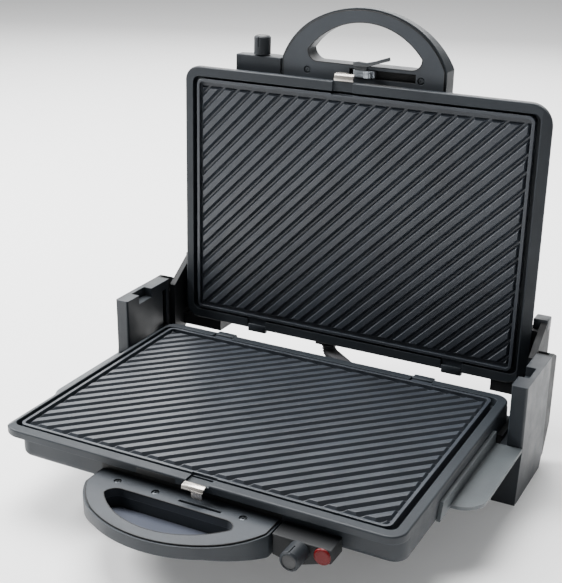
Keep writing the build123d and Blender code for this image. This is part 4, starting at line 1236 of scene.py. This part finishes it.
    def floor_grip(self) -> None:
        """Lays the floor of the blind finger opening, rising towards the tip, in a lightened colour
        that paints its reflection of the light.
        """
        (near_y, near_z), (far_y, far_z) = self.grip_floor_near, self.grip_floor_far
        slope = (far_z - near_z) / (far_y - near_y)
        low, high = (
            [
                self.place(x, y, near_z + slope * (min(y, near_y) - near_y) + lift)
                for x, y in self.grip(self.grip_floor_gap)
            ]
            for lift in (0.0, self.grip_floor_thick)
        )
        piece = close_rings(f"{self.body}_grip_floor", low, high, flat=False)
        settle(piece, self.body, Palette.GRIP_FLOOR)

    def strip(self, name: str, span: Pair, profile: Sequence[Pair]) -> Piece:
        """Bends a strip of sheet along a profile.

        Args:
            name: The piece's name without the half's.
            span: Its two sides along x.
            profile: Points (y, z) of its middle line.

        Returns:
            The strip, with its thickness and its rounded edges.
        """
        form = bmesh.new()
        rows = [[form.verts.new(self.place(x, y, z)) for x in span] for y, z in profile]
        for near, far in zip(rows, rows[1:]):
            form.faces.new((near[0], near[1], far[1], far[0]))
        piece = mesh_object(f"{self.body}_{name}", form)
        wall = piece.modifiers.new("wall", "SOLIDIFY")
        wall.thickness = self.clip_thick * MM
        wall.offset = 0.0
        soften(piece, self.clip_edge)
        smooth_by_angle(piece, self.clip_crease)
        return piece

    def hook_clip(self) -> None:
        """Fits the sprung clip that lets the plate go: a tab out of the rim and its bent leg."""
        body = f"{self.body}_clip"
        tab = self.strip("clip_tab", self.clip_x, self.clip_profile)
        settle(tab, body, Palette.CLIP, (f"{self.body}_plate_clip",))
        leg = self.strip("clip_leg", self.clip_leg_x, self.clip_leg_profile)
        settle(leg, body, Palette.CLIP)

    def paint_slot_shadow(self) -> None:
        """Lines the latch's slot in the lid's handle with thin black sheets that paint the shade
        inside the slot.
        """
        (x0, x1), (y0, y1), (z0, z1) = self.slot_x, self.slot_y, self.slot_z
        skin = self.slot_shadow_skin
        for name, x, y, z in (
            ("slot_floor", (x0, x1), (y0, y1), (z0, z0 + skin)),
            ("slot_outer_side", (x0, x1), (y0, y0 + skin), (z0, z1)),
            ("slot_inner_side", (x0, x1), (y1 - skin, y1), (z0, z1)),
            ("slot_left_end", (x0, x0 + skin), (y0, y1), (z0, z1)),
            ("slot_right_end", (x1 - skin, x1), (y0, y1), (z0, z1)),
        ):
            side = self.slab(name, Block(x, y, z, self.slot_edge))
            settle(side, self.body, Palette.SHADOW)

    def build(self) -> None:
        """Builds every added piece of the half."""
        self.lay_seams()
        self.drive_screws()
        self.fit_feet()
        self.fit_shadow_strips()
        self.fit_lugs()
        self.hook_clip()
        self.cap_knob()
        if self.half is Half.LID:
            self.paint_slot_shadow()
        else:
            self.paint_pocket_shadows()
            self.floor_grip()


@dataclass
class SlidingLatch:
    """Latch in the lid's handle: a silver slider in its slot and a thumb lever at the opening."""

    slider: Block = Block((-12.0, 9.0), (-138.6, -131.9), (-18.8, -13.4), 0.5)
    hook: Block = Block((-10.0, -7.0), (-138.2, -132.4), (-14.0, -9.0), 0.4)
    hook_tip: Block = Block((-10.0, -3.0), (-138.2, -132.4), (-10.6, -9.0), 0.4)
    neck: Block = Block((-4.0, 8.0), (-142.6, -138.0), (-14.9, -13.4), 0.3)
    lever_outline: tuple[Pair, ...] = (
        (8.6, -141.9), (9.2, -145.4), (4.0, -146.4), (-4.0, -145.8), (-12.0, -147.8),
        (-20.0, -150.6), (-26.0, -152.6), (-26.6, -149.2), (-18.0, -146.6), (-9.0, -143.4),
        (-4.0, -141.9),
    )
    lever_z: Pair = (-14.6, -12.2)
    lever_edge: float = 0.45

    def build(self) -> None:
        """Builds the slider, with its hook, and the lever."""
        lid = CookingHalf(Half.LID)
        for name, block, finish, replaced in (
            ("latch_slider", self.slider, Palette.SLIDER, ("lid_latch",)),
            ("latch_hook", self.hook, Palette.SLIDER, ()),
            ("latch_hook_tip", self.hook_tip, Palette.SLIDER, ()),
            ("latch_neck", self.neck, Palette.LEVER, ()),
        ):
            settle(lid.slab(name, block), "latch", finish, replaced)
        low, high = ([lid.place(x, y, z) for x, y in self.lever_outline] for z in self.lever_z)
        lever = close_rings("lid_latch_lever", low, high)
        soften(lever, self.lever_edge)
        smooth_by_angle(lever)
        settle(lever, "latch", Palette.LEVER)


@dataclass
class ArmCaps:
    """Blocks at the upper ends of the lid's arms, between the arm and the lid's side."""

    reach_x: Pair = (177.0, 190.4)
    y: Pair = (66.5, 77.5)
    z: Pair = (-30.4, -16.8)
    edge: float = 0.9

    def build(self) -> None:
        """Builds one block on each side."""
        lid = CookingHalf(Half.LID)
        for name, x in (("left", self.reach_x), ("right", (-self.reach_x[1], -self.reach_x[0]))):
            cap = lid.slab(f"{name}_arm_cap", Block(x, self.y, self.z, self.edge))
            settle(cap, "lid", Palette.TOWER)


@dataclass
class CableGuard:
    """Flat ribbed hose over the wires, from the base's gland up to the lid's collar."""

    start: Point = (34.746, 109.034, 52.5)
    heading: Pair = (-0.7838, 0.6211)
    run: float = 66.54
    bend: float = 6.5
    rise: float = 5.7
    split: float = 36.0
    width: float = 14.0
    thickness: float = 6.0
    corner: float = 2.0
    tilt: float = math.pi / 2
    pitch: float = 2.4
    groove: float = 0.12
    step: float = 0.4
    crease: float = 50.0
    held_low: float = 8.0
    held_high: float = 4.0

    def point(self, distance: float) -> Vector:
        """Gives the hose's middle at a distance along it, in metres."""
        along = Vector((*self.heading, 0))
        quarter = self.bend * math.pi / 2
        level = min(distance, self.run)
        turn = min(max(distance - self.run, 0), quarter) / self.bend
        climb = max(distance - self.run - quarter, 0)
        return (
            Vector(self.start) + along * (level + self.bend * math.sin(turn))
            + Vector((0, 0, self.bend * (1 - math.cos(turn)) + climb))
        ) * MM

    def stretch(self, name: str, low: float, high: float) -> Piece:
        """Grows one stretch of the hose.

        Args:
            name: The piece's name.
            low: Where it starts along the hose.
            high: Where it ends.

        Returns:
            The stretch.
        """
        count = int((high - low) / self.step)
        points = [self.point(low + (high - low) * index / count) for index in range(count + 1)]
        hose = HOSE.grow(name, path_mesh(name, points, False), {
            "Step": self.step * MM,
            "Offset": low * MM,
            "Pitch": self.pitch * MM,
            "Groove": self.groove,
            "Tilt": self.tilt,
            "Thickness": self.thickness * MM,
            "Width": self.width * MM,
            "Corner": self.corner * MM,
        }, Palette.HOSE)
        face_outward(hose)
        smooth_by_angle(hose, self.crease)
        return hose

    def build(self) -> None:
        """Builds both stretches."""
        whole = self.run + self.bend * math.pi / 2 + self.rise
        lower = self.stretch("hose_lower", 0.0, self.split)
        upper = self.stretch("hose_upper", self.split, whole)
        for piece, bodies, span in (
            (lower, ("base", "carriage"), (self.held_low, self.split)),
            (upper, ("carriage", "lid"), (self.split, whole - self.held_high)),
        ):
            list(bodies)
            tuple(self.point(span[0]))
            tuple(self.point(span[1]))
            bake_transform(piece)
            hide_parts("cable_guard")
            faces = len(piece.data.polygons)
            log.info("%s: %d faces between %s and %s", piece.name, faces, *bodies)


class Dresser:
    """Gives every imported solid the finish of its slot."""

    def __init__(self, nodes: dict[str, Piece], record: dict[str, Any]) -> None:
        """Reads which slot each node takes."""
        self.nodes = nodes
        self.slots = {row["node"]: row["material_slot"] for row in record["subparts"]}

    def dress(self) -> None:
        """Assigns the finishes."""
        for name, node in self.nodes.items():
            finish = NODE_FINISHES.get(name, SLOT_FINISHES[self.slots[name]])
            if not node.material_slots:
                node.data.materials.append(finish.value.material())
            for slot in node.material_slots:
                slot.material = finish.value.material()
            log.info("%s: %s", name, finish.value.name)


@dataclass(frozen=True)
class SoftBox:
    """A soft box: where it hangs and what it points at in metres, its size and its watts."""

    name: str
    at: Point
    aim: Point
    size: Pair
    power: float

    def hang(self) -> None:
        """Hangs the soft box."""
        lamp = bpy.data.lights.new(self.name, "AREA")
        lamp.shape = "RECTANGLE"
        lamp.size, lamp.size_y = self.size
        lamp.energy = self.power
        holder = bpy.data.objects.new(self.name, lamp)
        holder.location = self.at
        toward = Vector(self.aim) - Vector(self.at)
        holder.rotation_euler = toward.to_track_quat("-Z", "Y").to_euler()
        bpy.context.scene.collection.objects.link(holder)


@dataclass
class Studio:
    """Floor, lights and camera of a plain pale studio, in metres, degrees and image pixels."""

    image_width: float = 562.0
    focal: float = 1161.8
    centre: Pair = (287.9, 302.5)
    image_middle: Pair = (281.0, 291.5)
    camera_at: Point = (0.4188, -0.803052, 0.5232)
    azimuth: float = 26.98
    elevation: float = 21.72
    roll: float = 0.766
    sensor: float = 36.0
    floor_size: float = 120.0
    floor_white: float = 0.9
    floor_roughness: float = 0.9
    floor_specular: float = 0.1
    floor_glow: float = 0.16
    sky: Colour = (0.97, 0.985, 1.0)
    sky_strength: float = 0.27
    boxes: tuple[SoftBox, ...] = (
        SoftBox("top_box", (-0.5, 0.5, 1.9), (0, 0, 0.1), (1.5, 1.2), 112.0),
        SoftBox("left_box", (-1.9, -0.3, 1.5), (0, 0, 0.15), (0.8, 0.8), 92.0),
        SoftBox("back_box", (-0.6, 1.9, 1.1), (0, 0, 0.15), (2.2, 0.9), 34.0),
    )
    near_clip: float = 0.01

    def lay_floor(self) -> None:
        """Lays the floor."""
        form = bmesh.new()
        bmesh.ops.create_grid(form, x_segments=1, y_segments=1, size=self.floor_size / 2)
        floor = mesh_object("studio_floor", form)
        material = bpy.data.materials.new("pale_floor")
        material.use_nodes = True
        shader = material.node_tree.nodes["Principled BSDF"]
        shader.inputs["Base Color"].default_value = (*[self.floor_white] * 3, 1)
        shader.inputs["Roughness"].default_value = self.floor_roughness
        shader.inputs["Specular IOR Level"].default_value = self.floor_specular
        shader.inputs["Emission Color"].default_value = (1.0, 1.0, 1.0, 1)
        shader.inputs["Emission Strength"].default_value = self.floor_glow
        floor.data.materials.append(material)

    def light_room(self) -> None:
        """Hangs the soft boxes and lights the room."""
        world = bpy.data.worlds.new("studio_room")
        bpy.context.scene.world = world
        world.use_nodes = True
        background = world.node_tree.nodes["Background"]
        background.inputs["Color"].default_value = (*self.sky, 1)
        background.inputs["Strength"].default_value = self.sky_strength
        for box in self.boxes:
            box.hang()

    def place_camera(self) -> None:
        """Places the camera where the photograph was taken from."""
        turn, lift = math.radians(self.azimuth), math.radians(self.elevation)
        roll = math.radians(self.roll)
        level = math.cos(lift)
        back = Vector((math.sin(turn) * level, -math.cos(turn) * level, math.sin(lift)))
        right = (-back).cross(Vector((0, 0, 1))).normalized()
        up = right.cross(-back)
        side = math.cos(roll) * right + math.sin(roll) * up
        head = -math.sin(roll) * right + math.cos(roll) * up
        data = bpy.data.cameras.new("photo_camera")
        camera = bpy.data.objects.new("photo_camera", data)
        bpy.context.scene.collection.objects.link(camera)
        pose = Matrix((side, head, back)).transposed().to_4x4()
        pose.translation = Vector(self.camera_at)
        camera.matrix_world = pose
        data.sensor_fit = "HORIZONTAL"
        data.sensor_width = self.sensor
        data.lens = self.focal / self.image_width * self.sensor
        data.shift_x = (self.image_middle[0] - self.centre[0]) / self.image_width
        data.shift_y = (self.centre[1] - self.image_middle[1]) / self.image_width
        data.clip_start = self.near_clip
        bpy.context.scene.camera = camera

    def build(self) -> None:
        """Sets up the whole studio."""
        self.lay_floor()
        self.light_room()
        self.place_camera()


def main() -> None:
    """Builds the studio and dresses the grill."""
    logging.basicConfig(level=logging.INFO, format="%(name)s %(message)s")
    for leftover in list(bpy.data.objects):
        if leftover.name in ("Cube", "Camera", "Light"):
            bpy.data.objects.remove(leftover)
    Studio().build()
    Dresser(frame["nodes"], frame["record"]).dress()
    for half in Half:
        CookingHalf(half).build()
    SlidingLatch().build()
    ArmCaps().build()
    CableGuard().build()


if __name__ == "__main__":
    main()
